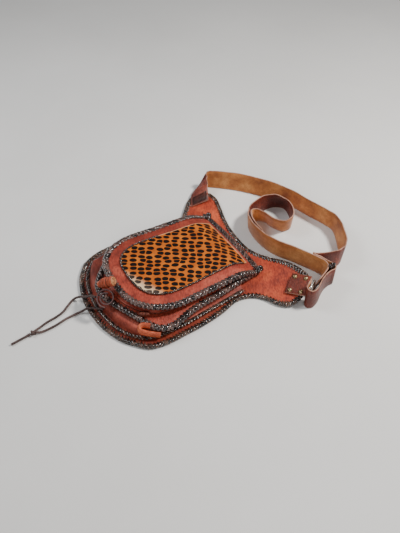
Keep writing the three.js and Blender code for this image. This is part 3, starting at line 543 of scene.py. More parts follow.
def strands(path, closed, under, pitch, template, width, height, centre=(0.0, -10.0), size_at=even):
    """Many short strands laid over a path.

    The template's rows are (along in pitches, out, height), and centre is the place, as
    (out, height), that they go round.
    """
    s0, step = spaced(path, closed, pitch, 0.1)
    t = spline(template, 3)
    s = s0[:, None] + t[None, :, 0] * step
    p = at(path, s, closed)
    d = unit(at(path, s + 2.5, closed) - at(path, s - 2.5, closed))
    out = np.stack([d[..., 1], -d[..., 0]], -1)
    swell = 1 + rng.uniform(-0.1, 0.1, len(s0))[:, None]
    reach = t[None, :, 1] * size_at(p[:, :1, 1])
    lift = t[None, :, 2] * swell
    xy = p + out * reach[..., None]
    line = np.dstack([xy, under(xy[..., 0], xy[..., 1]) + lift])
    away = np.dstack([out * (reach - centre[0])[..., None], lift - centre[1]])
    return lay(line, away, width, height)


def sweep(rings, closed=False):
    """A body through rings of points."""
    rings = np.asarray(rings)
    return rings.reshape(-1, 3), ring_faces(1, *rings.shape[:2], closed)


def edge_normals(path, closed):
    """The way out of an outline, seen from above, at each of its points."""
    s = lengths(path, closed)[: len(path)]
    d = unit(at(path, s + 3, closed) - at(path, s - 3, closed))
    return np.stack([d[:, 1], -d[:, 0]], -1)


def braid(name, path, closed, under, thick, lacing, material, node, size_at=even):
    """An edge covered by crossing strands over a near-black core, painted shade between the
    strands; lacing gives its sizes.
    """
    inward, outward, rise, pitch, width, height, legs = lacing
    core_path = at(path, np.arange(0, lengths(path, closed)[-1], 3.0), closed)
    section = [
        (-0.8 * inward, -0.5 * rise), (0.4 * outward, -0.7 * rise), (0.7 * outward, thick / 2),
        (0.3 * outward, thick + 0.5 * rise), (-0.8 * inward, thick + 0.3 * rise),
    ]
    rings = []
    for p, n in zip(core_path, edge_normals(core_path, closed)):
        grow = float(size_at(p[1]))
        ring = []
        for reach, lift in section:
            x, y = p + n * reach
            extra = lift - np.clip(lift, 0, thick)
            ring.append((x, y, float(under(x, y)) + lift - extra * (1 - grow)))
        rings.append(ring)
    core = sweep(rings, closed)
    over = [
        (-1.0, -inward - legs, thick - 0.2), (-0.72, -0.85 * inward, thick + 0.5 * rise),
        (-0.3, -0.3 * inward, thick + rise), (0.2, 0.45 * outward, thick + 0.75 * rise),
        (0.5, outward, thick / 2), (0.7, 0.5 * outward, -0.7 * rise),
        (0.9, -0.6 * inward, -0.55 * rise),
    ]
    back = [
        (1.0, -0.7 * inward, thick + 0.45 * rise), (0.5, -0.25 * inward, thick + 1.05 * rise),
        (0, 0.4 * outward, thick + rise), (-0.45, outward, thick * 0.7), (-0.7, 0.8 * outward, 0),
    ]
    place = ((-0.3 * inward, thick / 2), lambda y: 0.6 + 0.4 * size_at(y))
    points, faces = join_meshes([
        core,
        strands(path, closed, under, pitch, over, width, height, *place),
        strands(path, closed, under, pitch, back, width * 0.9, height, *place),
    ])
    kinds = [0] * len(core[1]) + [1] * (len(faces) - len(core[1]))
    build(name, points, faces, [CORE_SHADE, material], node, kinds)


def dashes(path, under, pitch, long, width, height, lift):
    """A running lace: short raised stitches along an open path."""
    template = [
        (-long, 0, -0.3), (-0.72 * long, 0, 0.55 * height), (0, 0, 0.8 * height),
        (0.72 * long, 0, 0.55 * height), (long, 0, -0.3),
    ]
    s0, step = spaced(path, False, pitch, 0.08)
    t = spline(template, 2)
    p = at(path, s0[:, None] + t[None, :, 0] * step)
    line = np.dstack([p, under(p[..., 0], p[..., 1]) + lift + t[None, :, 2]])
    return lay(line, np.broadcast_to([0.0, 0, 1], line.shape), width, height)


def strap_frames(rows, per):
    """Middle, way along, way up and face of a strap at every step."""
    rows = np.array(rows, float)
    edge = spline(rows[:, :3], per)
    t = np.linspace(0, len(rows) - 1, len(edge))
    k = np.minimum(t.astype(int), len(rows) - 2)
    f = smooth(t - k)[:, None]
    lean = rows[k, 3:] * (1 - f) + rows[k + 1, 3:] * f
    rise = np.sqrt(np.maximum(0, STRAP_WIDTH**2 - (lean**2).sum(1)))
    up = unit(np.column_stack([lean, rise]))
    middle = edge + up * STRAP_WIDTH / 2
    along = unit(np.gradient(middle, axis=0))
    return middle, along, up, unit(np.cross(along, up))


def strap(name, rows, per, tan_side, node):
    """A strap: suede on tan_side, finished leather on the other, light cut edges."""
    middle, _, up, face = strap_frames(rows, per)
    w, h, r = STRAP_WIDTH / 2, STRAP_THICK / 2, STRAP_ROUND
    section = [
        (-w + r, -h), (-w / 2, -h), (0, -h), (w / 2, -h), (w - r, -h), (w, -h + r), (w, h - r),
        (w - r, h), (w / 2, h), (0, h), (-w / 2, h), (-w + r, h), (-w, h - r), (-w, -h + r),
    ]
    low, high, edge = (1, 0, 2) if tan_side > 0 else (0, 1, 2)
    kinds = [low] * 4 + [edge] * 3 + [high] * 4 + [edge] * 3
    points, faces = sweep(np.stack([middle + up * a + face * b for a, b in section], 1))
    uv = np.array([[s, a] for s in lengths(middle) for a, _ in section])
    kinds = kinds * (len(middle) - 1) + [edge] * 2
    build(name, points, faces, [TAN, BROWN, PINK], node, kinds, uv)


def cross_ways(axis):
    """The axis as a unit vector, with two ways across it."""
    axis = unit(np.array(axis, float))
    side = unit(np.cross(axis, [0.3, 0.2, -0.9]))
    return axis, side, np.cross(axis, side)


def lathe(profile, sides, centre, axis):
    """A turned body: profile rows are (radius, height), along axis from centre."""
    axis, side, other = cross_ways(axis)
    a = around(sides)[:, None]
    ring = side * np.cos(a) + other * np.sin(a)
    return sweep([np.asarray(centre) + axis * h + ring * max(r, 1e-3) for r, h in profile])


def loop_tube(points, radius, sides=8, closed=True):
    """A round tube along a path of points."""
    p = np.array(points, float)
    d = unit((np.roll(p, -1, 0) - np.roll(p, 1, 0)) if closed else np.gradient(p, axis=0))
    side = unit(np.cross(d, [0.21, 0.35, 0.91]))
    other = np.cross(d, side)
    return tube(p[None], side[None], other[None], 2 * radius, 2 * radius, sides, closed=closed)


def knot_path(centre, size, normal):
    """A trefoil, for a lace knot."""
    n = unit(np.array(normal, float))
    a = unit(np.cross(n, [0.2, 0.9, 0.1]))
    b = np.cross(n, a)
    t = around(64)
    x = (np.sin(t) + 1.6 * np.sin(2 * t)) / 2.6
    y = (np.cos(t) - 1.6 * np.cos(2 * t)) / 2.6
    z = -np.sin(3 * t) / 2.2
    return np.asarray(centre) + size * (x[:, None] * a + y[:, None] * b + z[:, None] * n)


# ------------ materials
BLACK, WHITE = (0, 0, 0), (1, 1, 1)


class Nodes:
    """A small helper to write shader trees."""

    def __init__(self, name):
        self.material = bpy.data.materials.new(name)
        self.material.use_nodes = True
        self.tree = self.material.node_tree
        self.shader = self.tree.nodes["Principled BSDF"]
        self.coordinates = self.tree.nodes.new("ShaderNodeTexCoord")

    def put(self, kind, inputs=None, **settings):
        node = self.tree.nodes.new("ShaderNode" + kind)
        for key, value in settings.items():
            setattr(node, key, value)
        for key, value in (inputs or {}).items():
            self.link(value, node.inputs[key])
        return node

    def link(self, value, socket):
        if isinstance(value, bpy.types.NodeSocket):
            self.tree.links.new(value, socket)
        elif isinstance(value, (tuple, list)) and len(value) == 3 and socket.type == "RGBA":
            socket.default_value = (*value, 1)
        else:
            socket.default_value = value

    def plan(self):
        """Place on the piece seen from above, in millimetres; along and across on a strap."""
        return self.put("UVMap", uv_map="plan").outputs["UV"]

    def place(self, plan=False, stretch=(1, 1, 1), turn=0.0):
        source = self.plan() if plan else self.coordinates.outputs["Object"]
        inputs = {"Vector": source, "Rotation": (0, 0, turn), "Scale": stretch}
        return self.put("Mapping", inputs).outputs["Vector"]

    def noise(self, vector, scale, detail=4.0, rough=0.55):
        inputs = {"Vector": vector, "Scale": scale, "Detail": detail, "Roughness": rough}
        return self.put("TexNoise", inputs).outputs["Fac"]

    def ramp(self, value, stops):
        node = self.put("ValToRGB", {"Fac": value})
        while len(node.color_ramp.elements) < len(stops):
            node.color_ramp.elements.new(0.5)
        for element, (position, colour) in zip(node.color_ramp.elements, stops):
            element.position = position
            element.color = (*colour, 1)
        return node.outputs["Color"]

    def fall(self, value, start, end, amount):
        """The amount where value is below start, and none past end."""
        return self.maths("MULTIPLY", self.ramp(value, [(start, WHITE), (end, BLACK)]), amount)

    def climb(self, value, start, end, amount):
        """None where value is below start, and the amount past end."""
        return self.maths("MULTIPLY", self.ramp(value, [(start, BLACK), (end, WHITE)]), amount)

    def spread(self, value, low, high, start=0.0, end=1.0):
        """Value from start to end as low to high."""
        inputs = {"Value": value, "From Min": start, "From Max": end, "To Min": low, "To Max": high}
        return self.put("MapRange", inputs).outputs["Result"]

    def mix(self, factor, a, b):
        return self.put("Mix", {"Factor": factor, 6: a, 7: b}, data_type="RGBA").outputs[2]

    def maths(self, operation, a, b, clamp=False):
        inputs = {0: a, 1: b}
        return self.put("Math", inputs, operation=operation, use_clamp=clamp).outputs[0]

    def vector(self, operation, a, b):
        return self.put("VectorMath", {0: a, 1: b}, operation=operation).outputs[0]

    def bump(self, height, strength, distance):
        inputs = {"Height": height, "Strength": strength, "Distance": distance}
        self.set("Normal", self.put("Bump", inputs).outputs["Normal"])

    def set(self, name, value):
        self.link(value, self.shader.inputs[name])

    def finish(self, colour, rough, coat=0.0, coat_rough=0.3, metal=0.0, sheen=0.0):
        self.set("Base Color", colour)
        self.set("Roughness", rough)
        self.set("Coat Weight", coat)
        self.set("Coat Roughness", coat_rough)
        self.set("Metallic", metal)
        self.set("Sheen Weight", sheen)
        return self.material


def leather(name, dark, middle, light, rough=(0.6, 0.8), coat=0.0, mottle=0.6, shade=None):
    """Grained leather: blotches, mottle, fine pores, creases and scuffs.

    shade is (axis, start, end, amount): painted shade, darker by the amount at start, none from end
    on.
    """
    m = Nodes(name)
    base = m.place()
    colour = m.ramp(m.noise(base, 26, 5, 0.6), [(0.34, dark), (0.5, middle), (0.66, light)])
    pores = m.put("TexVoronoi", {"Vector": base, "Scale": 900}).outputs["Distance"]
    turned = m.vector("MULTIPLY", m.place(turn=math.radians(-147)), (0.4, 1, 1))
    speck = m.noise(turned, 400, 3, 0.65)
    creases = m.noise(m.place(stretch=(1, 2.6, 1), turn=0.5), 210, 6, 0.7)
    scuffs = m.noise(m.place(stretch=(1, 7, 1), turn=-0.4), 95, 8, 0.75)
    deep = [0.45 * c for c in dark]
    colour = m.mix(m.climb(scuffs, 0.56, 0.72, 0.25), colour, light)
    colour = m.mix(m.fall(speck, 0.34, 0.5, mottle), colour, deep)
    colour = m.mix(m.climb(speck, 0.52, 0.7, 0.7 * mottle), colour, light)
    colour = m.mix(m.fall(creases, 0.3, 0.46, 0.5), colour, dark)
    # Painted shade: the colour darkens towards start along one axis of the piece
    if shade:
        axis, start, end, amount = shade
        place = m.put("SeparateXYZ", {"Vector": base}).outputs[axis]
        colour = m.mix(m.spread(place, amount, 0, start, end), colour, deep)
    height = m.maths("ADD", m.maths("MULTIPLY", pores, 0.5), creases)
    m.bump(m.maths("ADD", height, m.maths("MULTIPLY", speck, 1.5)), 0.5, 0.0008)
    m.set("Specular IOR Level", 0.35)
    return m.finish(colour, m.spread(m.noise(base, 60), *rough), coat)


def lace(name, dark, light, rough, coat):
    """Glossy lace, each strand its own shade, worn at places."""
    m = Nodes(name)
    base = m.place()
    island = m.put("NewGeometry").outputs["Random Per Island"]
    worn = m.maths("MULTIPLY", m.noise(base, 420), 0.45)
    shade = m.maths("ADD", m.maths("MULTIPLY", island, 0.65), worn)
    middle = [0.6 * a + 0.4 * b for a, b in zip(dark, light)]
    colour = m.ramp(shade, [(0.3, dark), (0.6, middle), (0.88, light)])
    m.bump(m.noise(base, 900, 5), 0.2, 0.0005)
    return m.finish(colour, rough, coat, coat_rough=0.12)


def suede(name, dark, middle, light):
    """Napped inner face of a strap, with rubbed and darkened areas."""
    m = Nodes(name)
    base = m.place()
    colour = m.ramp(m.noise(base, 24, 6, 0.72), [(0.34, dark), (0.5, middle), (0.66, light)])
    nap = m.noise(base, 420, 8, 0.8)
    colour = m.mix(m.fall(nap, 0.4, 0.55, 0.35), colour, dark)
    m.bump(nap, 0.4, 0.0006)
    return m.finish(colour, 0.85, sheen=0.25)


def hide():
    """Short hair printed with dark ovals, worn to cream along the lower left edge."""
    m = Nodes("spotted hide")
    plan = m.place(plan=True, turn=math.radians(-57))
    bend = m.put("TexNoise", {"Vector": plan, "Scale": 0.02, "Detail": 2.0})
    pushed = m.vector("SUBTRACT", bend.outputs["Color"], (0.5, 0.5, 0.5))
    moved = m.vector("ADD", plan, m.vector("MULTIPLY", pushed, (8, 8, 0)))
    ovals = m.vector("MULTIPLY", moved, (1 / 14.0, 1 / 10.0, 0))
    inputs = {"Vector": ovals, "Scale": 1.0, "Randomness": 0.42}
    spot = m.put("TexVoronoi", inputs, voronoi_dimensions="2D")
    apart = m.put("TexVoronoi", inputs, voronoi_dimensions="2D", feature="DISTANCE_TO_EDGE")
    between = m.maths("SUBTRACT", 0.52, m.maths("MULTIPLY", apart.outputs["Distance"], 1.8))
    oval = m.maths("MAXIMUM", spot.outputs["Distance"], between)
    fur = m.noise(m.place(plan=True, stretch=(1.2, 0.28, 1), turn=0.35), 1.6, 8, 0.75)
    uneven = m.maths("SUBTRACT", fur, 0.5)
    edge = m.maths("ADD", oval, m.maths("MULTIPLY", uneven, 0.16))
    browns = [(0.3, (0.4, 0.075, 0.006)), (0.55, (0.6, 0.14, 0.01)), (0.8, (0.74, 0.22, 0.022))]
    ground = m.ramp(m.noise(plan, 0.05), browns)
    ground = m.mix(m.fall(fur, 0.35, 0.6, 0.45), ground, (0.3, 0.09, 0.02))
    seen = m.put("SeparateXYZ", {"Vector": m.plan()}).outputs
    right, high = m.maths("MULTIPLY", seen["X"], 0.4), m.maths("MULTIPLY", seen["Y"], 0.9)
    low = m.maths("SUBTRACT", m.maths("SUBTRACT", right, high), 51.0)
    low = m.maths("DIVIDE", low, 14.0)
    worn = m.maths("ADD", low, m.maths("MULTIPLY", uneven, 1.3), clamp=True)
    ground = m.mix(worn, ground, (0.78, 0.58, 0.36))
    dark = m.mix(worn, (0.006, 0.003, 0.003), (0.07, 0.05, 0.04))
    colour = m.mix(m.ramp(edge, [(0.4, WHITE), (0.45, BLACK)]), ground, dark)
    m.bump(fur, 0.5, 0.0008)
    m.set("Specular IOR Level", 0.15)
    return m.finish(colour, 0.62)


def metal(name, colour, rough):
    """Metal with darker tarnish in patches."""
    m = Nodes(name)
    base = m.place()
    tarnish = [0.45 * c for c in colour]
    tone = m.ramp(m.noise(base, 300, 6, 0.7), [(0.35, tarnish), (0.6, colour)])
    m.bump(m.noise(base, 900, 3), 0.12, 0.0003)
    return m.finish(tone, m.spread(m.noise(base, 500), rough, rough + 0.2), metal=1.0)


# Colours from dark to light, then how the roughness varies
# Painted shade on the red leather: darker towards the bag's tip, along y
RED = leather("red leather", (0.24, 0.03, 0.016), (0.42, 0.054, 0.023), (0.66, 0.12, 0.045),
              (0.4, 0.58), coat=0.05, shade=("Y", -0.06, 0.06, 0.62))
# Painted shade on the flap leather: darker towards the left, along x
FLAP_RED = leather("flap leather", (0.22, 0.03, 0.018), (0.37, 0.05, 0.027), (0.56, 0.11, 0.062),
                   (0.36, 0.54), coat=0.1, shade=("X", -0.09, -0.01, 0.45))
# A darker copy of the red leather: painted shade on the lower pouch under the flaps
SHADED_POUCH_RED = leather("pouch leather with painted shade", (0.17, 0.028, 0.017), (0.28, 0.044, 0.025),
                    (0.42, 0.085, 0.05), (0.45, 0.62))
FLESH = suede("flesh side", (0.2, 0.08, 0.04), (0.3, 0.13, 0.07), (0.38, 0.18, 0.1))
CUT = leather("cut edge", (0.07, 0.02, 0.012), (0.12, 0.035, 0.02), (0.2, 0.06, 0.035))
# Near-black matte core under the edge strands: painted shade in the gaps between them
CORE_SHADE = lace("lace core painted as gap shade", (0.006, 0.0035, 0.003), (0.014, 0.008, 0.007), 0.7, 0.0)
LACE = lace("dark lace", (0.005, 0.003, 0.0025), (0.14, 0.075, 0.05), 0.22, 0.8)
BRAID = lace("glossy braid", (0.006, 0.004, 0.004), (0.18, 0.105, 0.088), 0.16, 0.8)
HIDE = hide()
TAN = suede("strap suede", (0.26, 0.068, 0.012), (0.48, 0.16, 0.032), (0.68, 0.29, 0.08))
BROWN = leather("strap finish", (0.075, 0.012, 0.007), (0.145, 0.024, 0.013),
                (0.28, 0.055, 0.028), (0.36, 0.52), coat=0.1)
PINK = leather("strap edge", (0.3, 0.14, 0.09), (0.44, 0.23, 0.16), (0.58, 0.34, 0.25))
ROLLED = leather("rolled leather", (0.34, 0.05, 0.02), (0.56, 0.1, 0.035), (0.72, 0.19, 0.08),
                 (0.38, 0.55))
# Dark rolled leather for the small toggle, and painted shade in the large toggle's grooves
DARK_ROLL_AND_GROOVE_SHADE = leather("worn rolled leather and painted groove shade", (0.1, 0.02, 0.01), (0.2, 0.04, 0.02),
                    (0.4, 0.12, 0.06), (0.4, 0.6))
LIGHT_ROLL = leather("rolled end", (0.5, 0.18, 0.07), (0.66, 0.3, 0.13), (0.8, 0.45, 0.24),
                     (0.5, 0.7))
PALE_EDGE = leather("pale cut edge", (0.5, 0.2, 0.08), (0.68, 0.33, 0.14), (0.8, 0.48, 0.26),
                    mottle=0.2)
DARK_LOOP = leather("loop leather", (0.02, 0.006, 0.005), (0.05, 0.014, 0.01), (0.11, 0.03, 0.02),
                    (0.35, 0.55))
LOOP_EDGE = leather("loop edge", (0.07, 0.035, 0.035), (0.13, 0.07, 0.07), (0.22, 0.13, 0.12))
THONG = leather("thong", (0.05, 0.03, 0.027), (0.085, 0.05, 0.045), (0.15, 0.095, 0.085),
                (0.55, 0.75))
BRASS = metal("antique brass", (0.5, 0.37, 0.2), 0.28)
BRIGHT = metal("bright wire", (0.92, 0.88, 0.82), 0.12)
THREAD = lace("dark thread", (0.02, 0.012, 0.01), (0.08, 0.05, 0.04), 0.6, 0.0)
# Top, underside and cut edge
BACK_LOOK, FLAP_LOOK, SHADED_POUCH_LOOK = ([top, FLESH, CUT] for top in (RED, FLAP_RED, SHADED_POUCH_RED))


# ------------ back, pouches and flaps
def crossed(path, under, pitch, layers):
    """Layers of strands across an open path."""
    return [strands(path, False, under, pitch, *layer) for layer in layers]


def flap(name, outline, under):
    """A flap and its laced edge."""
    sheet(f"{name}_leather", outline, under, FLAP_THICK, FLAP_LOOK, name, 80, 100)
    braid(f"{name}_braid", free_edge(outline, LACED_TO), False, under, FLAP_THICK, FLAP_LACING,
          BRAID, f"{name}_lacing", near_hinge)


sheet("back_leather", BACK, back_under, BACK_THICK, BACK_LOOK, "back_panel", 110, 130)
braid("edge_lacing", ring_of(BACK), True, back_under, BACK_THICK, BACK_LACING, LACE,
      "back_edge_lacing")
# The lower pouch gets the darker leather as painted shade
pouch("lower_pouch_leather", POUCH, back_top, lower_under, SHADED_POUCH_LOOK, "lower_pouch", 0.5)
grid = patch(POUCH, np.linspace(-0.99, 0.99, 60), np.linspace(0.005, 0.98, 60))
seam = np.vstack([grid[::-1, 0], grid[0, 1:-1], grid[:, -1]])
seam_lacing = join_meshes(crossed(seam, seam_floor, 6.0, SEAM))
build("seam_lacing", *seam_lacing, [LACE], "pouch_seam_lacing")
flap("lower_flap", LOWER_FLAP, lower_under)
pouch("upper_pocket_leather", POCKET, lower_top, main_under, FLAP_LOOK, "upper_pocket", 0.3)
flap("main_flap", MAIN_FLAP, main_under)

# Lacing across the hinge, which bows slightly, and a knot at each of its ends
HINGE_HALF, HINGE_LINE, HINGE_BOW = 80, 142.3, 3
hinge_x = np.linspace(-HINGE_HALF, HINGE_HALF, 60)
hinge = np.column_stack([hinge_x, HINGE_LINE - HINGE_BOW * (hinge_x / HINGE_HALF) ** 2])
hinge_lacing = crossed(hinge, flap_top, 6.6, HINGE)
for side in (-1, 1):
    x, y = side * 80.5, 138.5
    centre = (x, y, float(flap_top(x, y)) + 3.6)
    hinge_lacing.append(loop_tube(knot_path(centre, 6.4, (0.1 * side, -0.2, 1)), 2.5))
build("hinge_lacing", *join_meshes(hinge_lacing), [BRAID], "flap_hinge_lacing")
lace_end = lathe(LACE_END, 12, (84.5, 137.5, float(flap_top(84, 138)) + 2.2), (0.8, 0.5, 0.2))
build("tan_lace_end", *lace_end, [LIGHT_ROLL])

# Hide panel, its pale cut edge and the running lace just outside it
sheet("spotted_hide_panel", PRINT, print_floor, PRINT_THICK, [HIDE, FLESH, LIGHT_ROLL],
      "print_panel", 70, 90)
grid = patch(PRINT, np.linspace(-1.003, 1.003, 50), np.linspace(0.0, 1.0, 60))
edge = np.vstack([grid[12:-1, 0], grid[-1, :-1], grid[:0:-1, -1]])
edge = np.column_stack([edge, flap_top(edge[:, 0], edge[:, 1]) + PRINT_THICK])
build("print_cut_edge", *loop_tube(edge, 0.8, 6, closed=False), [PALE_EDGE])
grid = patch(PRINT, np.linspace(-1.025, 1.025, 60), np.linspace(-0.014, 0.97, 70))
run = np.vstack([grid[24::-1, 0], grid[0, 1:-1], grid[:, -1]])
build("print_lacing", *dashes(run, flap_top, 7.0, 0.37, 3.6, 2.4, 0.9), [LACE])

# ------------ toggles and loops
# Large toggle: stepped layers with painted shade in the grooves and light edges, and a spiral at
# its end
profile = [(0.3, -ROLL_HALF)]
for outer, a, b in ROLL_LAYERS:
    for lost, t in ROLL_LAYER:
        profile.append((ROLL_RADIUS * (outer - lost), ROLL_HALF * (a + (b - a) * t)))
profile.append((0.3, ROLL_HALF))
ROLL_SIDES = 36
ROLLED_FACE, LIGHT_FACE, GROOVE_SHADE_FACE = 0, 1, 2
# The faces falling into each groove, its floor and the rise out of it are painted dark as shade
layer_kinds = {0: GROOVE_SHADE_FACE, 1: LIGHT_FACE, 4: GROOVE_SHADE_FACE, 5: GROOVE_SHADE_FACE}
kinds = []
for j in range(len(profile) - 1):
    kinds += [layer_kinds.get((j - 1) % len(ROLL_LAYER), ROLLED_FACE)] * ROLL_SIDES
kinds += [ROLLED_FACE] * 2
roll = lathe(profile, ROLL_SIDES, ROLL_CENTRE, ROLL_AXIS)
build("rolled_toggle", *roll, [ROLLED, LIGHT_ROLL, DARK_ROLL_AND_GROOVE_SHADE], "toggle_upper", kinds)
axis, side, other = cross_ways(ROLL_AXIS)
turn = np.linspace(0, 2 * math.pi * 2.6, 90)[:, None]
radius = 0.8 + (ROLL_RADIUS * 0.8 - 0.8) * turn / turn[-1]
spiral = np.array(ROLL_CENTRE) + axis * (ROLL_HALF + 0.1)
spiral = spiral + radius * (np.cos(turn) * side + np.sin(turn) * other)
build("toggle_spiral", *loop_tube(spiral, 0.75, 6, closed=False), [LIGHT_ROLL])
small = lathe(SMALL_TOGGLE, 24, (70.6, -80.1, 32.9), (0.62, 0.78, 0.1))
build("small_toggle", *small, [DARK_ROLL_AND_GROOVE_SHADE], "toggle_lower")

# Pull loop: a ribbon rolled one and a half turns, with its section as parts of its sizes
PULL_CENTRE, PULL_NORMAL = np.array([14.7, -117.6, 40.3]), unit(np.array([0.5, -0.33, 0.8]))
PULL_TURNS, PULL_OUTER, PULL_SHRINK, PULL_THICK, PULL_WIDTH = 1.55, 16.4, 7.9, 2.0, 6.0
PULL_SECTION = [
    (0, -0.5), (0, 0), (0, 0.5), (-0.5, 0.56), (-1, 0.5), (-1, 0), (-1, -0.5), (-0.5, -0.56),
]
pull_turn = Vector((0, 1, 0)).rotation_difference(Vector(PULL_NORMAL))
rings = []
for t in np.linspace(0, 1, 120):
    a, radius = 2 * math.pi * PULL_TURNS * t, PULL_OUTER - PULL_SHRINK * t
    ring = []
    for out, up in PULL_SECTION:
        r = radius + out * PULL_THICK
        point = pull_turn @ Vector((r * math.cos(a), up * PULL_WIDTH, r * math.sin(a)))
        ring.append(PULL_CENTRE + np.array(point))
    rings.append(ring)
kinds = [0, 0, 1, 1, 0, 0, 1, 1] * (len(rings) - 1) + [1, 1]
build("pull_loop_ribbon", *sweep(rings), [DARK_LOOP, LOOP_EDGE], "pull_loop", kinds)

path = spline(RED_LOOP, 10)
along = unit(np.gradient(path, axis=0))
side = unit(np.column_stack([-along[:, 1], along[:, 0], 0 * along[:, 0]]))
up = unit(np.cross(along, side))
section = [(3.4 * math.cos(a), 6.0 * math.sin(a)) for a in around(16)]
rings = np.stack([path + side * a + up * b for a, b in section], 1)
build("red_loop_ribbon", *sweep(rings), [ROLLED], "red_loop")

# ------------ belt and straps
STRAP_STEPS, TAB_STEPS = 14, 24
strap("belt_leather", BELT, STRAP_STEPS, 1, "belt_strap")
strap("adjusting_leather", ADJUSTING, STRAP_STEPS, -1, "adjusting_strap")
strap("tab_leather", TAB, TAB_STEPS, -1, "strap_tab")
middle, along, up, face = (values[0] for values in strap_frames(TAB, TAB_STEPS))
number = 0
for a in RIVET_ALONG:
    for c in RIVET_ACROSS:
        number += 1
        centre = middle + along * a + up * c + face * (STRAP_THICK / 2 + 0.1)
        dome = lathe(RIVET_DOME, 28, centre, face)
        build(f"rivet_dome_{number}", *dome, [BRASS], f"rivet_{number}")

belt_middle, _, belt_up, belt_face = strap_frames(BELT, STRAP_STEPS)
belt_run = lengths(belt_middle)


def on_belt(s, across):
    """Points just off the belt's finished side, and its face there."""
    middle, up, face = (
        np.array([np.interp(s, belt_run, line[:, i]) for i in range(3)]).T
        for line in (belt_middle, belt_up, belt_face)
    )
    return middle + up * np.asarray(across)[:, None] - face * (STRAP_THICK / 2 + 0.25), face


# Stitched box and its dark patch at the belt's end, on the left wing
BOX_NEAR, BOX_FAR, BOX_HALF, PATCH_INSET = 3.0, 21.0, 15.0, 1.2
box = [(BOX_NEAR, -BOX_HALF), (BOX_NEAR, BOX_HALF), (BOX_FAR, BOX_HALF), (BOX_FAR, -BOX_HALF)]
stitches = []
t = np.linspace(0.12, 0.88, 5)
for (s, a), (s2, a2), count in zip(box, box[1:] + box[:1], (11, 8, 11, 8)):
    for k in range(count):
        part = (k + t) / count
        p, f = on_belt(s + (s2 - s) * part, a + (a2 - a) * part)
        arch = p - f * (0.35 * np.sin(math.pi * t))[:, None]
        stitches.append(loop_tube(arch, 0.55, 5, closed=False))
build("belt_stitches", *join_meshes(stitches), [THREAD])
box_s, box_a = np.meshgrid(
    np.linspace(BOX_NEAR + PATCH_INSET, BOX_FAR - PATCH_INSET, 8),
    np.linspace(PATCH_INSET - BOX_HALF, BOX_HALF - PATCH_INSET, 14),
)
box_p, box_f = (v.reshape(*box_s.shape, 3) for v in on_belt(box_s.ravel(), box_a.ravel()))
box_points, box_faces, _, _ = shell(box_p + box_f * 0.3, box_p - box_f * 0.15)
build("belt_end_patch", box_points, box_faces, [DARK_LOOP])

# Ring: an upright loop of wire with round corners
RING_NEAR, RING_FAR = np.array([174.3, 170.3]), np.array([164.3, 189.3])
RING_LOW, RING_TOP, RING_CORNER, RING_WIRE = 3.0, 36.5, 4.0, 1.75
inset = unit(RING_FAR - RING_NEAR) * RING_CORNER
near, far = RING_NEAR + inset, RING_FAR - inset
low, top = RING_LOW + RING_CORNER, RING_TOP - RING_CORNER
ring_path = []
for centre, height, start in ((far, top, 0), (near, top, 90), (near, low, 180), (far, low, 270)):
    for k in range(7):
        a = math.radians(start + 15 * k)
        ring_path.append([*(centre + inset * math.cos(a)), height + RING_CORNER * math.sin(a)])
build("ring_wire", *loop_tube(ring_path, RING_WIRE, 12), [BRIGHT], "metal_ring")

# Keeper: a slightly barrelled sleeve round both straps, with two knots on top
KEEPER_CENTRE, KEEPER_LOW, KEEPER_TOP = (156.6, 233.2), 2.4, 38.2
keep = []
for z in np.linspace(KEEPER_LOW, KEEPER_TOP, 12):
    bulge = 0.25 * math.sin((z - 2) / 36 * math.pi)
    keep.append([
        (KEEPER_CENTRE[0] + (2.3 + bulge) * math.cos(a) * 1.05,
         KEEPER_CENTRE[1] + (3.5 + bulge) * math.sin(a) * 1.02, z)
        for a in around(20)
    ])
build("keeper_leather", *sweep(keep), [DARK_LOOP], "keeper")
knots = [loop_tube(knot_path((157.2, y, 39.8), 3.4, (0.3, 0.2, 1)), 1.4) for y in (230.6, 235.8)]
build("keeper_knots", *join_meshes(knots), [BRAID])


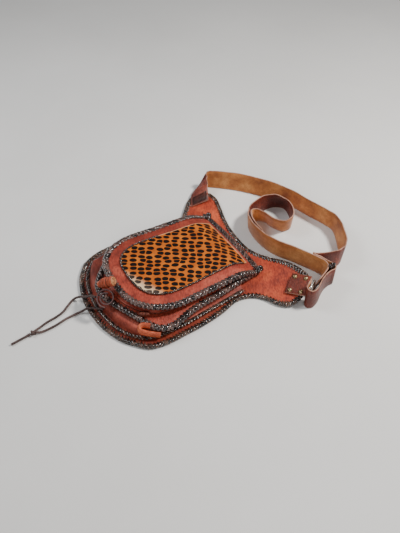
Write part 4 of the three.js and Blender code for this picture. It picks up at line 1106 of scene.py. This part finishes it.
# ------------ thong
def cord(name, points, node):
    """A limp strand of the thong as a curve."""
    line = row(spline(points, 6))
    curve = bpy.data.curves.new(name, "CURVE")
    curve.dimensions = "3D"
    curve.bevel_depth = 0.0019
    curve.bevel_resolution = 3
    curve.use_fill_caps = True
    poly = curve.splines.new("POLY")
    poly.points.add(len(line) - 1)
    for target, p in zip(poly.points, line):
        target.co = (*p, 1)
    curve.materials.append(THONG)
    obj = add(name, curve)
    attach(obj, "root")
    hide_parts(node)


knot_lace = loop_tube(knot_path((-13, -237.5, 4.4), 3.4, (0.1, 0.2, 1)), 1.75)
knot = build("thong_knot_lace", *knot_lace, [THONG], "thong_knot")
cord("thong_upper_strand", THONG_UPPER, "thong_upper")
cord("thong_lower_strand", THONG_LOWER, "thong_lower")
cord("thong_tail_end", THONG_TAIL, "thong_tail")

# ------------ floor and light
floor = bpy.data.meshes.new("floor")
floor.from_pydata([(-3, -3, 0), (3, -3, 0), (3, 3, 0), (-3, 3, 0)], [], [(0, 1, 2, 3)])
paper = Nodes("pale paper")
tone = paper.ramp(
    paper.noise(paper.place(), 3, 5), [(0.3, (0.78, 0.77, 0.75)), (0.7, (0.84, 0.83, 0.81))]
)
paper.bump(paper.noise(paper.place(), 900), 0.1, 0.0003)
floor.materials.append(paper.finish(tone, 0.85))
add("floor", floor)


def area(name, place, energy, size, colour):
    """A square light that looks at the frame's zero."""
    data = bpy.data.lights.new(name, "AREA")
    data.energy, data.size, data.color = energy, size, colour
    obj = add(name, data)
    obj.location = place
    obj.rotation_euler = Vector(place).to_track_quat("Z", "Y").to_euler()


area("key", (0.35, 0.75, 1.1), 20, 0.2, (1, 0.97, 0.93))
area("fill", (-0.7, -0.6, 1.0), 7, 0.5, (0.95, 0.97, 1))
area("front", (1.1, -0.7, 0.9), 5, 0.4, (1, 0.98, 0.96))
world = bpy.data.worlds.new("world")
world.use_nodes = True
world.node_tree.nodes["Background"].inputs["Color"].default_value = (0.9, 0.92, 0.95, 1)
world.node_tree.nodes["Background"].inputs["Strength"].default_value = 0.22
bpy.context.scene.world = world

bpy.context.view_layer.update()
